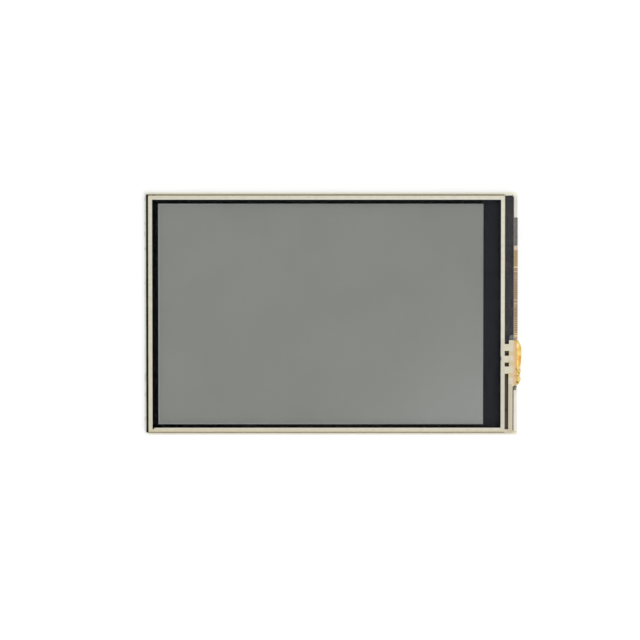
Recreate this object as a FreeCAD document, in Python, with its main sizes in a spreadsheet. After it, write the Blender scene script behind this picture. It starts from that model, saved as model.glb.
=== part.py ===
"""A 3.5 inch TFT display module: a moulded backlight frame, the liquid crystal cell that sits in it, a four-wire
resistive touch panel on the front, and two flex tails folded round the right edge onto the back.

The part lies on its back with the screen up. +X is the right of the screen, +Y its top, +Z faces the viewer.
The origin is under the middle of the frame, at the level of the lowest part on the folded flex. Millimetres.
"""

import FreeCAD, Part
import math
import os
from types import SimpleNamespace

import Sketcher

SIZES = {
    # backlight frame
    "frame_long": 84.7,
    "frame_wide": 55.0,
    "frame_corner": 0.5,
    "left_wall": 0.7,
    "right_wall": 1.0,
    "side_wall": 0.7,
    "left_shelf": 1.2,
    "right_shelf": 2.7,
    "side_shelf": 1.0,
    "cell_gap": 0.15,
    "recess_play": 0.05,
    "recess_above_flex": 0.2,
    "recess_below_tail": 1.2,
    # back plate and its clips
    "plate_thick": 0.15,
    "plate_inset": 0.45,
    "plate_play": 0.05,
    "clip_count": 3,
    "clip_pitch": 28.0,
    "clip_wide": 4.0,
    "clip_tall": 0.9,
    "clip_slot": 0.2,
    "clip_play": 0.01,
    # light guide, films and lamps
    "reflector_thick": 0.1,
    "guide_thick": 0.55,
    "diffuser_thick": 0.1,
    "prism_thick": 0.08,
    "film_play": 0.1,
    "film_headroom": 0.02,
    "ear_long": 3.0,
    "ear_out": 0.5,
    "ear_from_corner": 7.7,
    "led_count": 6,
    "led_row_inset": 5.7,
    "led_long": 3.0,
    "led_deep": 1.0,
    "led_window_long": 2.2,
    "led_window_tall": 0.3,
    "led_window_deep": 0.15,
    "led_flex_lap": 1.0,
    "led_flex_margin": 2.0,
    "led_tail_wide": 3.0,
    "led_tail_gap": 1.1,
    "led_tail_reach": 2.0,
    "led_tail_step": 0.6,
    # liquid crystal cell
    "rim_tape_thick": 0.05,
    "polarizer_thick": 0.15,
    "polarizer_inset": 0.4,
    "lcd_glass_thick": 0.4,
    "ledge_wide": 2.3,
    "mask_thick": 0.05,
    "mask_inset": 0.15,
    "view_from_left": 2.31,
    "view_from_right": 6.54,
    "view_from_bottom": 1.46,
    "view_from_top": 1.71,
    "view_play": 0.01,
    "chip_long": 19.0,
    "chip_wide": 1.0,
    "chip_thick": 0.3,
    "chip_from_glass": 0.3,
    "shield_lap": 0.3,
    "shield_margin": 0.15,
    # touch panel, from the edges of the frame
    "touch_from_left": 0.49,
    "touch_from_right": 0.85,
    "touch_from_side": 0.5,
    "touch_tape_thick": 0.25,
    "touch_tape_left": 1.2,
    "touch_tape_side": 1.0,
    "touch_tape_right": 0.8,
    "touch_glass_thick": 0.7,
    "touch_seam": 0.1,
    "touch_corner": 0.25,
    "conductor_thick": 0.12,
    "touch_film_thick": 0.18,
    "bus_wide": 0.95,
    "side_bus_wide": 0.9,
    "bus_from_left": 0.54,
    "bus_from_top": 0.25,
    "bus_from_bottom": 0.18,
    "bus_from_right": 2.07,
    "bus_notch_long": 0.4,
    "bus_notch_deep": 0.3,
    "gasket_gap": 0.03,
    # bond patch, where the touch tail joins the conductors
    "patch_long": 1.12,
    "patch_above_tail": 0.1,
    "patch_below_tail": 0.3,
    "tie_from_top": 0.87,
    "tie_1_wide": 1.55,
    "tie_2_wide": 1.52,
    "tie_3_wide": 1.63,
    "tie_1_gap": 1.12,
    "tie_2_gap": 0.91,
    "strip_wide": 0.97,
    "strip_from_right": 0.26,
    "strip_foot": 0.59,
    "glue_radius": 0.75,
    "glue_from_right": 0.3,
    "glue_above_patch": 0.54,
    # touch tail
    "tail_thick": 0.08,
    "tail_wide": 10.1,
    "tail_run": 0.05,
    "tail_below_flex": 0.2,
    "tail_side_flat": 0.12,
    "tail_bond_play": 0.05,
    "solder_gap": 0.02,
    "solder_count": 4,
    "solder_pitch": 2.2,
    "solder_wide": 1.2,
    "solder_long": 0.5,
    # main flex, whose middle lies above the middle of the frame
    "flex_thick": 0.12,
    "flex_wide": 21.3,
    "flex_above_middle": 4.75,
    "flex_bond": 0.85,
    "flex_side_flat": 0.17,
    "flex_proud": 0.2,
    "flex_reach": 34.35,
    "flex_neck_at": 15.35,
    "flex_neck_long": 1.5,
    "flex_corner": 1.0,
    "wing_inset": 1.45,
    "wing_long": 5.3,
    "wing_wide": 16.1,
    "wing_end": 0.8,
    "contact_count": 40,
    "contact_pitch": 0.5,
    "contact_wide": 0.3,
    "contact_long": 3.5,
    "contact_thick": 0.03,
    "contact_margin": 0.25,
    "stiffener_long": 6.0,
    "stiffener_thick": 0.13,
    "flex_tape_thick": 0.15,
    "flex_tape_long": 9.0,
    "flex_tape_gap": 2.5,
    "flex_tape_inset": 1.2,
    "part_count": 6,
    "part_pitch": 2.6,
    "part_long": 1.0,
    "part_wide": 0.5,
    "part_tall": 0.45,
    "part_past_neck": 3.5,
    # grey tape over the right edge
    "edge_tape_thick": 0.05,
    "edge_tape_wide": 6.1,
    "edge_tape_gap": 0.1,
    "edge_tape_play": 0.05,
    "edge_tape_back": 3.8,
}

# The outline of the touch tail's swollen bend: each pair is a share of the tail's width, down from its top edge,
# and how far the bend comes out there, as a share of its full swell
TAIL_SWELL = (
    (0.0, 0.5), (0.05, 0.84), (0.12, 0.97), (0.28, 1.0), (0.47, 1.0),
    (0.62, 0.94), (0.74, 0.88), (0.86, 0.95), (0.93, 0.86), (1.0, 0.6),
)

doc = FreeCAD.newDocument("display_module")
sheet = doc.addObject("Spreadsheet::Sheet", "Sizes")
for row, (name, size) in enumerate(SIZES.items(), 1):
    sheet.set(f"A{row}", name)
    sheet.set(f"B{row}", str(size))
    sheet.setAlias(f"B{row}", name)
doc.recompute()

# each size as the expression that reads its cell
s = SimpleNamespace(**{name: f"Sizes.{name}" for name in SIZES})

sub_parts = []


def value(expression):
    """The number that an expression stands for now."""
    return float(sheet.evalExpression(expression))


def plus(*terms):
    return " + ".join(f"({term})" for term in terms)


def less(first, *rest):
    return " - ".join(f"({term})" for term in (first, *rest))


# Heights, from the lowest part on the folded flex up to the touch film
flex_low = s.part_tall
flex_high = plus(flex_low, s.flex_thick)
back = plus(flex_high, s.flex_tape_thick)
plate_high = plus(back, s.plate_thick)
guide_low = plus(plate_high, s.reflector_thick)
guide_high = plus(guide_low, s.guide_thick)
diffuser_high = plus(guide_high, s.diffuser_thick)
lower_prism_high = plus(diffuser_high, s.prism_thick)
upper_prism_high = plus(lower_prism_high, s.prism_thick)
shelf = plus(upper_prism_high, s.film_headroom)
rim_tape_high = plus(shelf, s.rim_tape_thick)
tft_low = plus(rim_tape_high, s.polarizer_thick)
tft_high = plus(tft_low, s.lcd_glass_thick)
mask_high = plus(tft_high, s.mask_thick)
filter_high = plus(mask_high, s.lcd_glass_thick)
cell_high = plus(filter_high, s.polarizer_thick)
touch_low = plus(cell_high, s.touch_tape_thick)
conductor_low = plus(touch_low, s.touch_glass_thick)
conductor_high = plus(conductor_low, s.conductor_thick)
front = plus(conductor_high, s.touch_film_thick)

# Plan of the frame, the cell and the light box
frame_right = f"{s.frame_long} / 2"
frame_top = f"{s.frame_wide} / 2"
pocket_left = less(s.left_wall, frame_right)
pocket_right = less(frame_right, s.right_wall)
pocket_top = less(frame_top, s.side_wall)
cell_left = plus(pocket_left, s.cell_gap)
cell_right = less(pocket_right, s.cell_gap)
cell_top = less(pocket_top, s.cell_gap)
filter_right = less(cell_right, s.ledge_wide)
recess_face = plus(cell_right, s.recess_play)
box_left = plus(pocket_left, s.left_shelf)
box_right = less(pocket_right, s.right_shelf)
box_top = less(pocket_top, s.side_shelf)
film_left = plus(box_left, s.film_play)
film_top = less(box_top, s.film_play)
led_right = less(box_right, s.film_play)
led_left = less(led_right, s.led_deep)
guide_right = less(led_left, s.plate_play)
view_left = plus(cell_left, s.view_from_left)
view_right = less(cell_right, s.view_from_right)
view_bottom = less(s.view_from_bottom, cell_top)
view_top = less(cell_top, s.view_from_top)
led_spread = less(film_top, s.led_row_inset)

# Plan of the main flex
flex_top = plus(s.flex_above_middle, f"{s.flex_wide} / 2")
flex_bottom = less(flex_top, s.flex_wide)
flex_neck = less(frame_right, s.flex_neck_at)
contact_end = less(frame_right, s.flex_reach)
contact_half = plus(f"{s.contact_count} * {s.contact_pitch} / 2", s.contact_margin)
wing_right = less(frame_right, s.wing_inset)
wing_left = less(wing_right, s.wing_long)
recess_top = plus(flex_top, s.recess_above_flex)

# Plan of the touch panel and its tail
touch_left = less(s.touch_from_left, frame_right)
touch_right = less(frame_right, s.touch_from_right)
touch_top = less(frame_top, s.touch_from_side)
tail_top = less(flex_bottom, s.tail_below_flex)
tail_bottom = less(tail_top, s.tail_wide)
tail_end = plus(wing_left, s.wing_end)
recess_bottom = less(tail_bottom, s.recess_below_tail)
patch_top = plus(tail_top, s.patch_above_tail)
patch_bottom = less(tail_bottom, s.patch_below_tail)
tie_1_top = less(patch_top, s.tie_from_top)
tie_1_bottom = less(tie_1_top, s.tie_1_wide)
tie_2_top = less(tie_1_bottom, s.tie_1_gap)
tie_2_bottom = less(tie_2_top, s.tie_2_wide)
tie_3_top = less(tie_2_bottom, s.tie_2_gap)
tie_3_bottom = less(tie_3_top, s.tie_3_wide)
bus_left = plus(touch_left, s.bus_from_left)
bus_right = less(touch_right, s.bus_from_right)
bus_top = less(touch_top, s.bus_from_top)
bus_bottom = less(s.bus_from_bottom, touch_top)
patch_left = less(touch_right, s.patch_long)
strip_right = less(touch_right, s.strip_from_right)
strip_left = less(strip_right, s.strip_wide)
tail_low = less(flex_low, s.solder_gap, s.tail_thick)


def minus(expression):
    return f"-({expression})"


def rectangle(left, right, bottom, top):
    return [(left, bottom), (right, bottom), (right, top), (left, top)]


def box(label, along_x, along_y, along_z):
    """A plain plate, given by the expressions of its low and high faces."""
    solid = doc.addObject("Part::Box", label)
    solid.Label = label
    sides = (("Length", "x", along_x), ("Width", "y", along_y), ("Height", "z", along_z))
    for size, axis, (low, high) in sides:
        solid.setExpression(size, less(high, low))
        solid.setExpression(f"Placement.Base.{axis}", low)
    sub_parts.append(solid)
    return solid


def new_body(label, level):
    body = doc.addObject("PartDesign::Body", label)
    body.Label = label
    body.setExpression("Placement.Base.z", level)
    sub_parts.append(body)
    return body


def new_sketch(body, name, role="XY_Plane", offset="0"):
    sketch = body.newObject("Sketcher::SketchObject", name)
    plane = next(item for item in body.Origin.OriginFeatures if item.Role == role)
    sketch.AttachmentSupport = [(plane, "")]
    sketch.MapMode = "FlatFace"
    sketch.setExpression("AttachmentOffset.Base.z", offset)
    return sketch


def pin(sketch, geometry, end, x, y):
    """Holds one end of a line or arc at the place that two expressions give."""
    for kind, place in (("DistanceX", x), ("DistanceY", y)):
        number = sketch.addConstraint(Sketcher.Constraint(kind, -1, 1, geometry, end, value(place)))
        sketch.setExpression(f"Constraints[{number}]", place)


def draw_polygon(sketch, points):
    places = [FreeCAD.Vector(value(x), value(y), 0) for x, y in points]
    first = sketch.GeometryCount
    count = len(points)
    for i in range(count):
        sketch.addGeometry(Part.LineSegment(places[i], places[(i + 1) % count]), False)
    for i, (x, y) in enumerate(points):
        following = first + (i + 1) % count
        sketch.addConstraint(Sketcher.Constraint("Coincident", first + i, 2, following, 1))
        pin(sketch, first + i, 1, x, y)


def pad(body, name, outlines, height, level="0"):
    sketch = new_sketch(body, f"{name}_outline", offset=level)
    for outline in outlines:
        draw_polygon(sketch, outline)
    feature = body.newObject("PartDesign::Pad", name)
    feature.Profile = sketch
    feature.setExpression("Length", height)
    sketch.Visibility = False
    return feature


def cut(body, name, outlines, depth, level="0"):
    """Cuts upward from a level of the body."""
    sketch = new_sketch(body, f"{name}_outline", offset=level)
    for outline in outlines:
        draw_polygon(sketch, outline)
    feature = body.newObject("PartDesign::Pocket", name)
    feature.Profile = sketch
    feature.Reversed = True
    feature.setExpression("Length", depth)
    sketch.Visibility = False
    return feature


def repeat_along_y(body, name, feature, count, pitch):
    """Repeats a feature along +Y."""
    plane = next(item for item in body.Origin.OriginFeatures if item.Role == "Y_Axis")
    pattern = body.newObject("PartDesign::LinearPattern", name)
    pattern.Originals = [feature]
    pattern.Direction = (plane, [""])
    pattern.Mode = "Spacing"
    pattern.setExpression("Offset", pitch)
    pattern.setExpression("Occurrences", count)
    body.Tip = pattern
    return pattern


def upright_edges(shape, places):
    """Names of the edges along Z that stand at the given places."""
    wanted = [(value(x), value(y)) for x, y in places]
    names = []
    for number, edge in enumerate(shape.Edges, 1):
        foot, head = edge.Vertexes[0].Point, edge.Vertexes[-1].Point
        if abs(foot.x - head.x) > 1e-6 or abs(foot.y - head.y) > 1e-6:
            continue
        if any(abs(foot.x - x) < 1e-4 and abs(foot.y - y) < 1e-4 for x, y in wanted):
            names.append(f"Edge{number}")
    return names


def round_corners(body, name, places, radius):
    doc.recompute()
    before = body.Tip
    feature = body.newObject("PartDesign::Fillet", name)
    feature.Base = (before, upright_edges(before.Shape, places))
    feature.setExpression("Radius", radius)


def draw_fold(sketch, top_end, low_end, low, high, out, bend, thick):
    """A strip seen from its edge, folded round like a hairpin: along the top, round to x = out, back below."""
    x_top, x_low, z_low, z_high = value(top_end), value(low_end), value(low), value(high)
    x_out, outer, sheet_thick = value(out), value(bend), value(thick)
    inner = outer - sheet_thick
    x_mid, z_1, z_2 = x_out - outer, z_high - outer, z_low + outer
    point = FreeCAD.Vector

    def side(radius):
        """The lines and arcs of one face, from the top end to the low end."""
        spare = outer - radius
        quarter = math.pi / 2
        upper = Part.Circle(point(x_mid, z_1, 0), point(0, 0, 1), radius)
        lower = Part.Circle(point(x_mid, z_2, 0), point(0, 0, 1), radius)
        return [
            Part.LineSegment(point(x_top, z_high - spare, 0), point(x_mid, z_high - spare, 0)),
            Part.ArcOfCircle(upper, 0, quarter),
            Part.LineSegment(point(x_out - spare, z_1, 0), point(x_out - spare, z_2, 0)),
            Part.ArcOfCircle(lower, -quarter, 0),
            Part.LineSegment(point(x_mid, z_low + spare, 0), point(x_low, z_low + spare, 0)),
        ]

    for piece in side(outer) + side(inner):
        sketch.addGeometry(piece, False)
    for x, z in ((x_top, z_high), (x_low, z_low)):
        inward = -sheet_thick if z == z_high else sheet_thick
        sketch.addGeometry(Part.LineSegment(point(x, z, 0), point(x, z + inward, 0)), False)
    rule = Sketcher.Constraint
    for first in (0, 5):
        # an arc runs anticlockwise: its start is 1 and its end is 2
        sketch.addConstraint([
            rule("Horizontal", first),
            rule("Vertical", first + 2),
            rule("Horizontal", first + 4),
            rule("Tangent", first, 2, first + 1, 2),
            rule("Tangent", first + 1, 1, first + 2, 1),
            rule("Tangent", first + 2, 2, first + 3, 2),
            rule("Tangent", first + 3, 1, first + 4, 1),
        ])
    sketch.addConstraint([
        rule("Coincident", 1, 3, 6, 3),
        rule("Coincident", 3, 3, 8, 3),
        rule("Coincident", 0, 1, 10, 1),
        rule("Coincident", 5, 1, 10, 2),
        rule("Coincident", 4, 2, 11, 1),
        rule("Coincident", 9, 2, 11, 2),
        rule("Vertical", 10),
    ])
    pin(sketch, 0, 1, top_end, high)
    pin(sketch, 4, 2, low_end, low)
    for kind, ends, size in (
        ("DistanceX", (-1, 1, 2, 1), out),
        ("DistanceY", (10, 2, 10, 1), thick),
        ("Radius", (1,), bend),
        ("Radius", (3,), bend),
    ):
        number = sketch.addConstraint(rule(kind, *ends, value(size)))
        sketch.setExpression(f"Constraints[{number}]", size)


def make_frame():
    body = new_body("backlight_frame", back)
    tall = less(cell_high, back)
    corners = rectangle(minus(frame_right), frame_right, minus(frame_top), frame_top)
    pad(body, "block", [corners], tall)
    round_corners(body, "frame_corners", corners, s.frame_corner)
    shelf_level = less(shelf, back)
    pocket = rectangle(pocket_left, pocket_right, minus(pocket_top), pocket_top)
    cut(body, "cell_pocket", [pocket], less(tall, shelf_level), shelf_level)
    light_box = rectangle(box_left, box_right, minus(box_top), box_top)
    cut(body, "light_box", [light_box], tall)
    ear_left = less(box_left, s.ear_out)
    ears = [
        rectangle(ear_left, plus(box_left, s.film_play), low, high)
        for low, high in ear_spans(s.film_play)
    ]
    cut(body, "ear_pockets", ears, tall)
    low_wall = rectangle(less(pocket_right, s.cell_gap), plus(frame_right, s.cell_gap), minus(pocket_top), pocket_top)
    wall_level = less(filter_high, back)
    cut(body, "low_right_wall", [low_wall], less(tall, wall_level), wall_level)
    recess = rectangle(recess_face, plus(frame_right, s.cell_gap), recess_bottom, recess_top)
    cut(body, "flex_recess", [recess], tall)
    seat = rectangle(*plate_outline("0"))
    cut(body, "plate_seat", [seat], s.plate_thick)
    exit_low, exit_high = led_tail_span(s.plate_play)
    led_exit = rectangle(less(box_right, s.film_play), recess_face, exit_low, exit_high)
    exit_tall = plus(s.plate_thick, s.reflector_thick, s.plate_play)
    cut(body, "led_tail_exit", [led_exit], exit_tall)
    half = plus(f"{s.clip_wide} / 2", s.plate_play)
    wall_face = less(frame_top, s.clip_slot)
    beyond = plus(frame_top, s.cell_gap)
    inside = less(frame_top, s.plate_inset, s.plate_play)
    feet, slots = [], []
    for place in clip_places():
        left, right = less(place, half), plus(place, half)
        feet += [rectangle(left, right, inside, beyond), rectangle(left, right, minus(beyond), minus(inside))]
        slots += [rectangle(left, right, wall_face, beyond), rectangle(left, right, minus(beyond), minus(wall_face))]
    cut(body, "clip_feet", feet, s.plate_thick)
    cut(body, "clip_slots", slots, plus(s.clip_tall, s.plate_play))


def ear_spans(play):
    """The low and high ends in Y of the two locating ears, with play added at both ends."""
    half = plus(f"{s.ear_long} / 2", play)
    middle = less(film_top, s.ear_from_corner)
    return [(less(middle, half), plus(middle, half)), (minus(plus(middle, half)), less(half, middle))]


def led_tail_span(play):
    """The low and high ends in Y of the lamp flex's tail, just below the recess, with play at both ends."""
    top = less(recess_bottom, s.led_tail_gap)
    return less(top, s.led_tail_wide, play), plus(top, play)


def clip_places():
    """The middles in X of the clips along one long side."""
    return [f"({i} - ({s.clip_count} - 1) / 2) * {s.clip_pitch}" for i in range(SIZES["clip_count"])]


def plate_outline(play):
    """Left, right, bottom and top of the back plate, with play taken off each side."""
    left = plus(minus(frame_right), s.plate_inset, play)
    right = less(recess_face, s.plate_inset, play)
    top = less(frame_top, s.plate_inset, play)
    return left, right, minus(top), top


def make_back_plate():
    body = new_body("back_plate", back)
    left, right, bottom, top = plate_outline(s.plate_play)
    pad(body, "sheet", [rectangle(left, right, bottom, top)], s.plate_thick)
    low, high = led_tail_span(s.plate_play)
    notch = rectangle(box_right, plus(right, s.plate_play), low, high)
    cut(body, "led_tail_notch", [notch], s.plate_thick)
    half = f"{s.clip_wide} / 2"
    inner = less(frame_top, s.clip_slot, minus(s.clip_play))
    outer = plus(inner, s.plate_thick)
    feet, hooks = [], []
    for place in clip_places():
        near, far = less(place, half), plus(place, half)
        feet += [rectangle(near, far, top, outer), rectangle(near, far, minus(outer), bottom)]
        hooks += [rectangle(near, far, inner, outer), rectangle(near, far, minus(outer), minus(inner))]
    pad(body, "clip_feet_out", feet, s.plate_thick)
    pad(body, "clip_hooks", hooks, s.clip_tall)


def make_film(label, level, thick, right):
    """A film or plate of the light box, with two ears that locate it in the frame."""
    body = new_body(label, level)
    pad(body, f"{label}_sheet", [rectangle(film_left, right, minus(film_top), film_top)], thick)
    ear_left = less(film_left, s.ear_out)
    ears = [rectangle(ear_left, film_left, low, high) for low, high in ear_spans("0")]
    pad(body, f"{label}_ears", ears, thick)


def make_light_box():
    make_film("reflector", plate_high, s.reflector_thick, less(guide_right, s.led_flex_lap, s.film_play))
    make_film("light_guide", guide_low, s.guide_thick, guide_right)
    make_film("diffuser", guide_high, s.diffuser_thick, guide_right)
    make_film("lower_prism_film", diffuser_high, s.prism_thick, guide_right)
    make_film("upper_prism_film", lower_prism_high, s.prism_thick, guide_right)


def make_lamps():
    body = new_body("led_flex", plate_high)
    half = plus(led_spread, f"{s.led_long} / 2", s.led_flex_margin)
    strip = rectangle(less(guide_right, s.led_flex_lap), led_right, minus(half), half)
    pad(body, "lamp_strip", [strip], s.reflector_thick)
    low, high = led_tail_span("0")
    drop = less(plate_high, flex_high)
    level = minus(drop)
    step_start = plus(led_right, s.film_play)
    step_end = plus(step_start, s.led_tail_step)
    tail_tip = plus(led_right, s.led_tail_reach)
    sketch = new_sketch(body, "lamp_tail_edge", "XZ_Plane", minus(high))
    draw_polygon(sketch, [
        (less(led_right, s.film_play), "0"),
        (step_start, "0"),
        (step_end, level),
        (tail_tip, level),
        (tail_tip, plus(level, s.reflector_thick)),
        (step_end, plus(level, s.reflector_thick)),
        (step_start, s.reflector_thick),
        (less(led_right, s.film_play), s.reflector_thick),
    ])
    tail = body.newObject("PartDesign::Pad", "lamp_tail")
    tail.Profile = sketch
    tail.setExpression("Length", less(high, low))
    for i in range(SIZES["led_count"]):
        make_led(i)


def make_led(i):
    body = new_body(f"led_{i + 1}", guide_low)
    middle = f"({2 * i} / ({s.led_count} - 1) - 1) * ({led_spread})"
    body.setExpression("Placement.Base.x", led_left)
    body.setExpression("Placement.Base.y", middle)
    half = f"{s.led_long} / 2"
    pad(body, f"lamp_{i + 1}", [rectangle("0", s.led_deep, minus(half), half)], s.guide_thick)
    window_half = f"{s.led_window_long} / 2"
    rest = f"({s.guide_thick} - {s.led_window_tall}) / 2"
    window = rectangle(minus(s.led_window_deep), s.led_window_deep, minus(window_half), window_half)
    cut(body, f"lamp_window_{i + 1}", [window], s.led_window_tall, rest)


def make_ring(label, level, thick, outer, inner):
    body = new_body(label, level)
    pad(body, f"{label}_ring", [rectangle(*outer), rectangle(*inner)], thick)
    return body


def make_cell():
    cell = (cell_left, cell_right, minus(cell_top), cell_top)
    light_window = (box_left, box_right, minus(box_top), box_top)
    make_ring("rim_tape", shelf, s.rim_tape_thick, cell, light_window)
    inset = s.polarizer_inset
    low_y, high_y = plus(minus(cell_top), inset), less(cell_top, inset)
    box("rear_polarizer", (plus(cell_left, inset), less(cell_right, inset)), (low_y, high_y),
        (rim_tape_high, tft_low))
    box("tft_glass", (cell_left, cell_right), (minus(cell_top), cell_top), (tft_low, tft_high))
    inset = s.mask_inset
    mask = (plus(cell_left, inset), less(filter_right, inset), plus(minus(cell_top), inset), less(cell_top, inset))
    make_ring("black_mask", tft_high, s.mask_thick, mask, (view_left, view_right, view_bottom, view_top))
    play = s.view_play
    box("pixel_layer", (plus(view_left, play), less(view_right, play)), (plus(view_bottom, play), less(view_top, play)),
        (tft_high, mask_high))
    box("colour_filter_glass", (cell_left, filter_right), (minus(cell_top), cell_top), (mask_high, filter_high))
    inset = s.polarizer_inset
    box("front_polarizer", (plus(cell_left, inset), less(filter_right, inset)), (low_y, high_y),
        (filter_high, cell_high))
    chip_left = plus(filter_right, s.chip_from_glass)
    half = f"{s.chip_long} / 2"
    middle = s.flex_above_middle
    box("driver_chip", (chip_left, plus(chip_left, s.chip_wide)), (less(middle, half), plus(middle, half)),
        (tft_high, plus(tft_high, s.chip_thick)))
    tape_top = less(cell_top, s.shield_margin)
    box("light_shield_tape", (less(filter_right, s.shield_lap), touch_right), (minus(tape_top), tape_top),
        (filter_high, cell_high))


def make_touch_panel():
    outer = (touch_left, bus_right, minus(touch_top), touch_top)
    inner = (
        plus(touch_left, s.touch_tape_left),
        less(bus_right, s.touch_tape_right),
        plus(minus(touch_top), s.touch_tape_side),
        less(touch_top, s.touch_tape_side),
    )
    make_ring("touch_tape", cell_high, s.touch_tape_thick, outer, inner)
    panel = rectangle(touch_left, touch_right, minus(touch_top), touch_top)
    glass = new_body("touch_glass", touch_low)
    pad(glass, "pane", [panel], s.touch_glass_thick)
    round_corners(glass, "pane_corners", panel, s.touch_corner)
    doc.recompute()
    pane = glass.Tip
    seam = glass.newObject("PartDesign::Chamfer", "pane_seam")
    seam.Base = (pane, flat_edges(pane.Shape))
    seam.setExpression("Size", s.touch_seam)
    make_conductors()
    make_gasket()
    film = new_body("touch_film", conductor_high)
    pad(film, "film_sheet", [panel], s.touch_film_thick)
    round_corners(film, "film_corners", panel, s.touch_corner)


def flat_edges(shape):
    """Names of the edges round the top and bottom faces of a plate."""
    names = []
    for number, edge in enumerate(shape.Edges, 1):
        if edge.BoundBox.ZLength < 1e-6:
            names.append(f"Edge{number}")
    return names


def make_conductors():
    """The printed conductors: a ring of bus lines, three ties to the bond patch and a strip down the right side."""
    inner_left, inner_bottom = plus(bus_left, s.side_bus_wide), plus(bus_bottom, s.bus_wide)
    body = make_ring(
        "touch_conductors", conductor_low, s.conductor_thick,
        (bus_left, bus_right, bus_bottom, bus_top),
        (inner_left, less(bus_right, s.side_bus_wide), inner_bottom, less(bus_top, s.bus_wide)),
    )
    notch_right, notch_bottom = plus(inner_left, s.bus_notch_long), less(inner_bottom, s.bus_notch_deep)
    notch = rectangle(inner_left, notch_right, notch_bottom, plus(inner_bottom, s.gasket_gap))
    cut(body, "corner_notch", [notch], s.conductor_thick)
    pad(body, "bond_patch", [rectangle(patch_left, touch_right, patch_bottom, patch_top)], s.conductor_thick)
    ties = [
        (tie_1_bottom, tie_1_top),
        (tie_2_bottom, tie_2_top),
        (tie_3_bottom, tie_3_top),
    ]
    pad(body, "ties", [rectangle(bus_right, patch_left, low, high) for low, high in ties], s.conductor_thick)
    foot_top = plus(bus_bottom, s.strip_foot)
    pad(body, "right_strip", [[
        (bus_right, bus_bottom),
        (strip_right, bus_bottom),
        (strip_right, tie_3_bottom),
        (strip_left, tie_3_bottom),
        (strip_left, foot_top),
        (bus_right, foot_top),
    ]], s.conductor_thick)
    seat = rectangle(
        plus(patch_left, s.tail_bond_play), plus(touch_right, s.tail_bond_play),
        less(patch_bottom, s.tail_bond_play), plus(patch_top, s.tail_bond_play),
    )
    cut(body, "tail_seat", [seat], s.tail_thick)


def make_gasket():
    """The clear adhesive that closes the rim between the touch film and the touch glass."""
    body = new_body("touch_gasket", conductor_low)
    panel = rectangle(touch_left, touch_right, minus(touch_top), touch_top)
    gap = s.gasket_gap
    beyond = plus(touch_right, gap)
    pad(body, "rim", [panel], s.conductor_thick)
    ring = rectangle(less(bus_left, gap), plus(bus_right, gap), less(bus_bottom, gap), plus(bus_top, gap))
    cut(body, "bus_window", [ring], s.conductor_thick)
    strip = rectangle(bus_right, plus(strip_right, gap), less(bus_bottom, gap), plus(patch_top, gap))
    cut(body, "strip_window", [strip], s.conductor_thick)
    mouth = rectangle(strip_right, beyond, less(patch_bottom, gap), plus(patch_top, gap))
    cut(body, "tail_mouth", [mouth], s.conductor_thick)
    sketch = new_sketch(body, "glue_hole_outline")
    draw_glue_circle(sketch, plus(s.glue_radius, gap))
    hole = body.newObject("PartDesign::Pocket", "glue_hole")
    hole.Profile = sketch
    hole.Reversed = True
    hole.setExpression("Length", s.conductor_thick)
    make_glue_spot()


def glue_middle():
    return less(touch_right, s.glue_from_right), plus(patch_top, s.glue_above_patch)


def draw_glue_circle(sketch, radius):
    x, y = glue_middle()
    middle = FreeCAD.Vector(value(x), value(y), 0)
    sketch.addGeometry(Part.Circle(middle, FreeCAD.Vector(0, 0, 1), value(radius)), False)
    pin(sketch, 0, 3, x, y)
    number = sketch.addConstraint(Sketcher.Constraint("Radius", 0, value(radius)))
    sketch.setExpression(f"Constraints[{number}]", radius)


def make_glue_spot():
    x, y = glue_middle()
    disc = doc.addObject("Part::Cylinder", "glue_disc")
    disc.setExpression("Radius", s.glue_radius)
    disc.setExpression("Height", s.conductor_thick)
    window = doc.addObject("Part::Box", "glue_window")
    wide = f"2 * {s.glue_radius}"
    for size, length in (("Length", wide), ("Width", wide), ("Height", s.conductor_thick)):
        window.setExpression(size, length)
    places = {
        disc: (x, y, conductor_low),
        window: (less(touch_right, wide), plus(patch_top, s.gasket_gap), conductor_low),
    }
    for solid, place in places.items():
        for axis, distance in zip("xyz", place):
            solid.setExpression(f"Placement.Base.{axis}", distance)
    spot = doc.addObject("Part::Common", "touch_glue")
    spot.Label = "touch_glue"
    spot.Base = disc
    spot.Tool = window
    sub_parts.append(spot)


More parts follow.
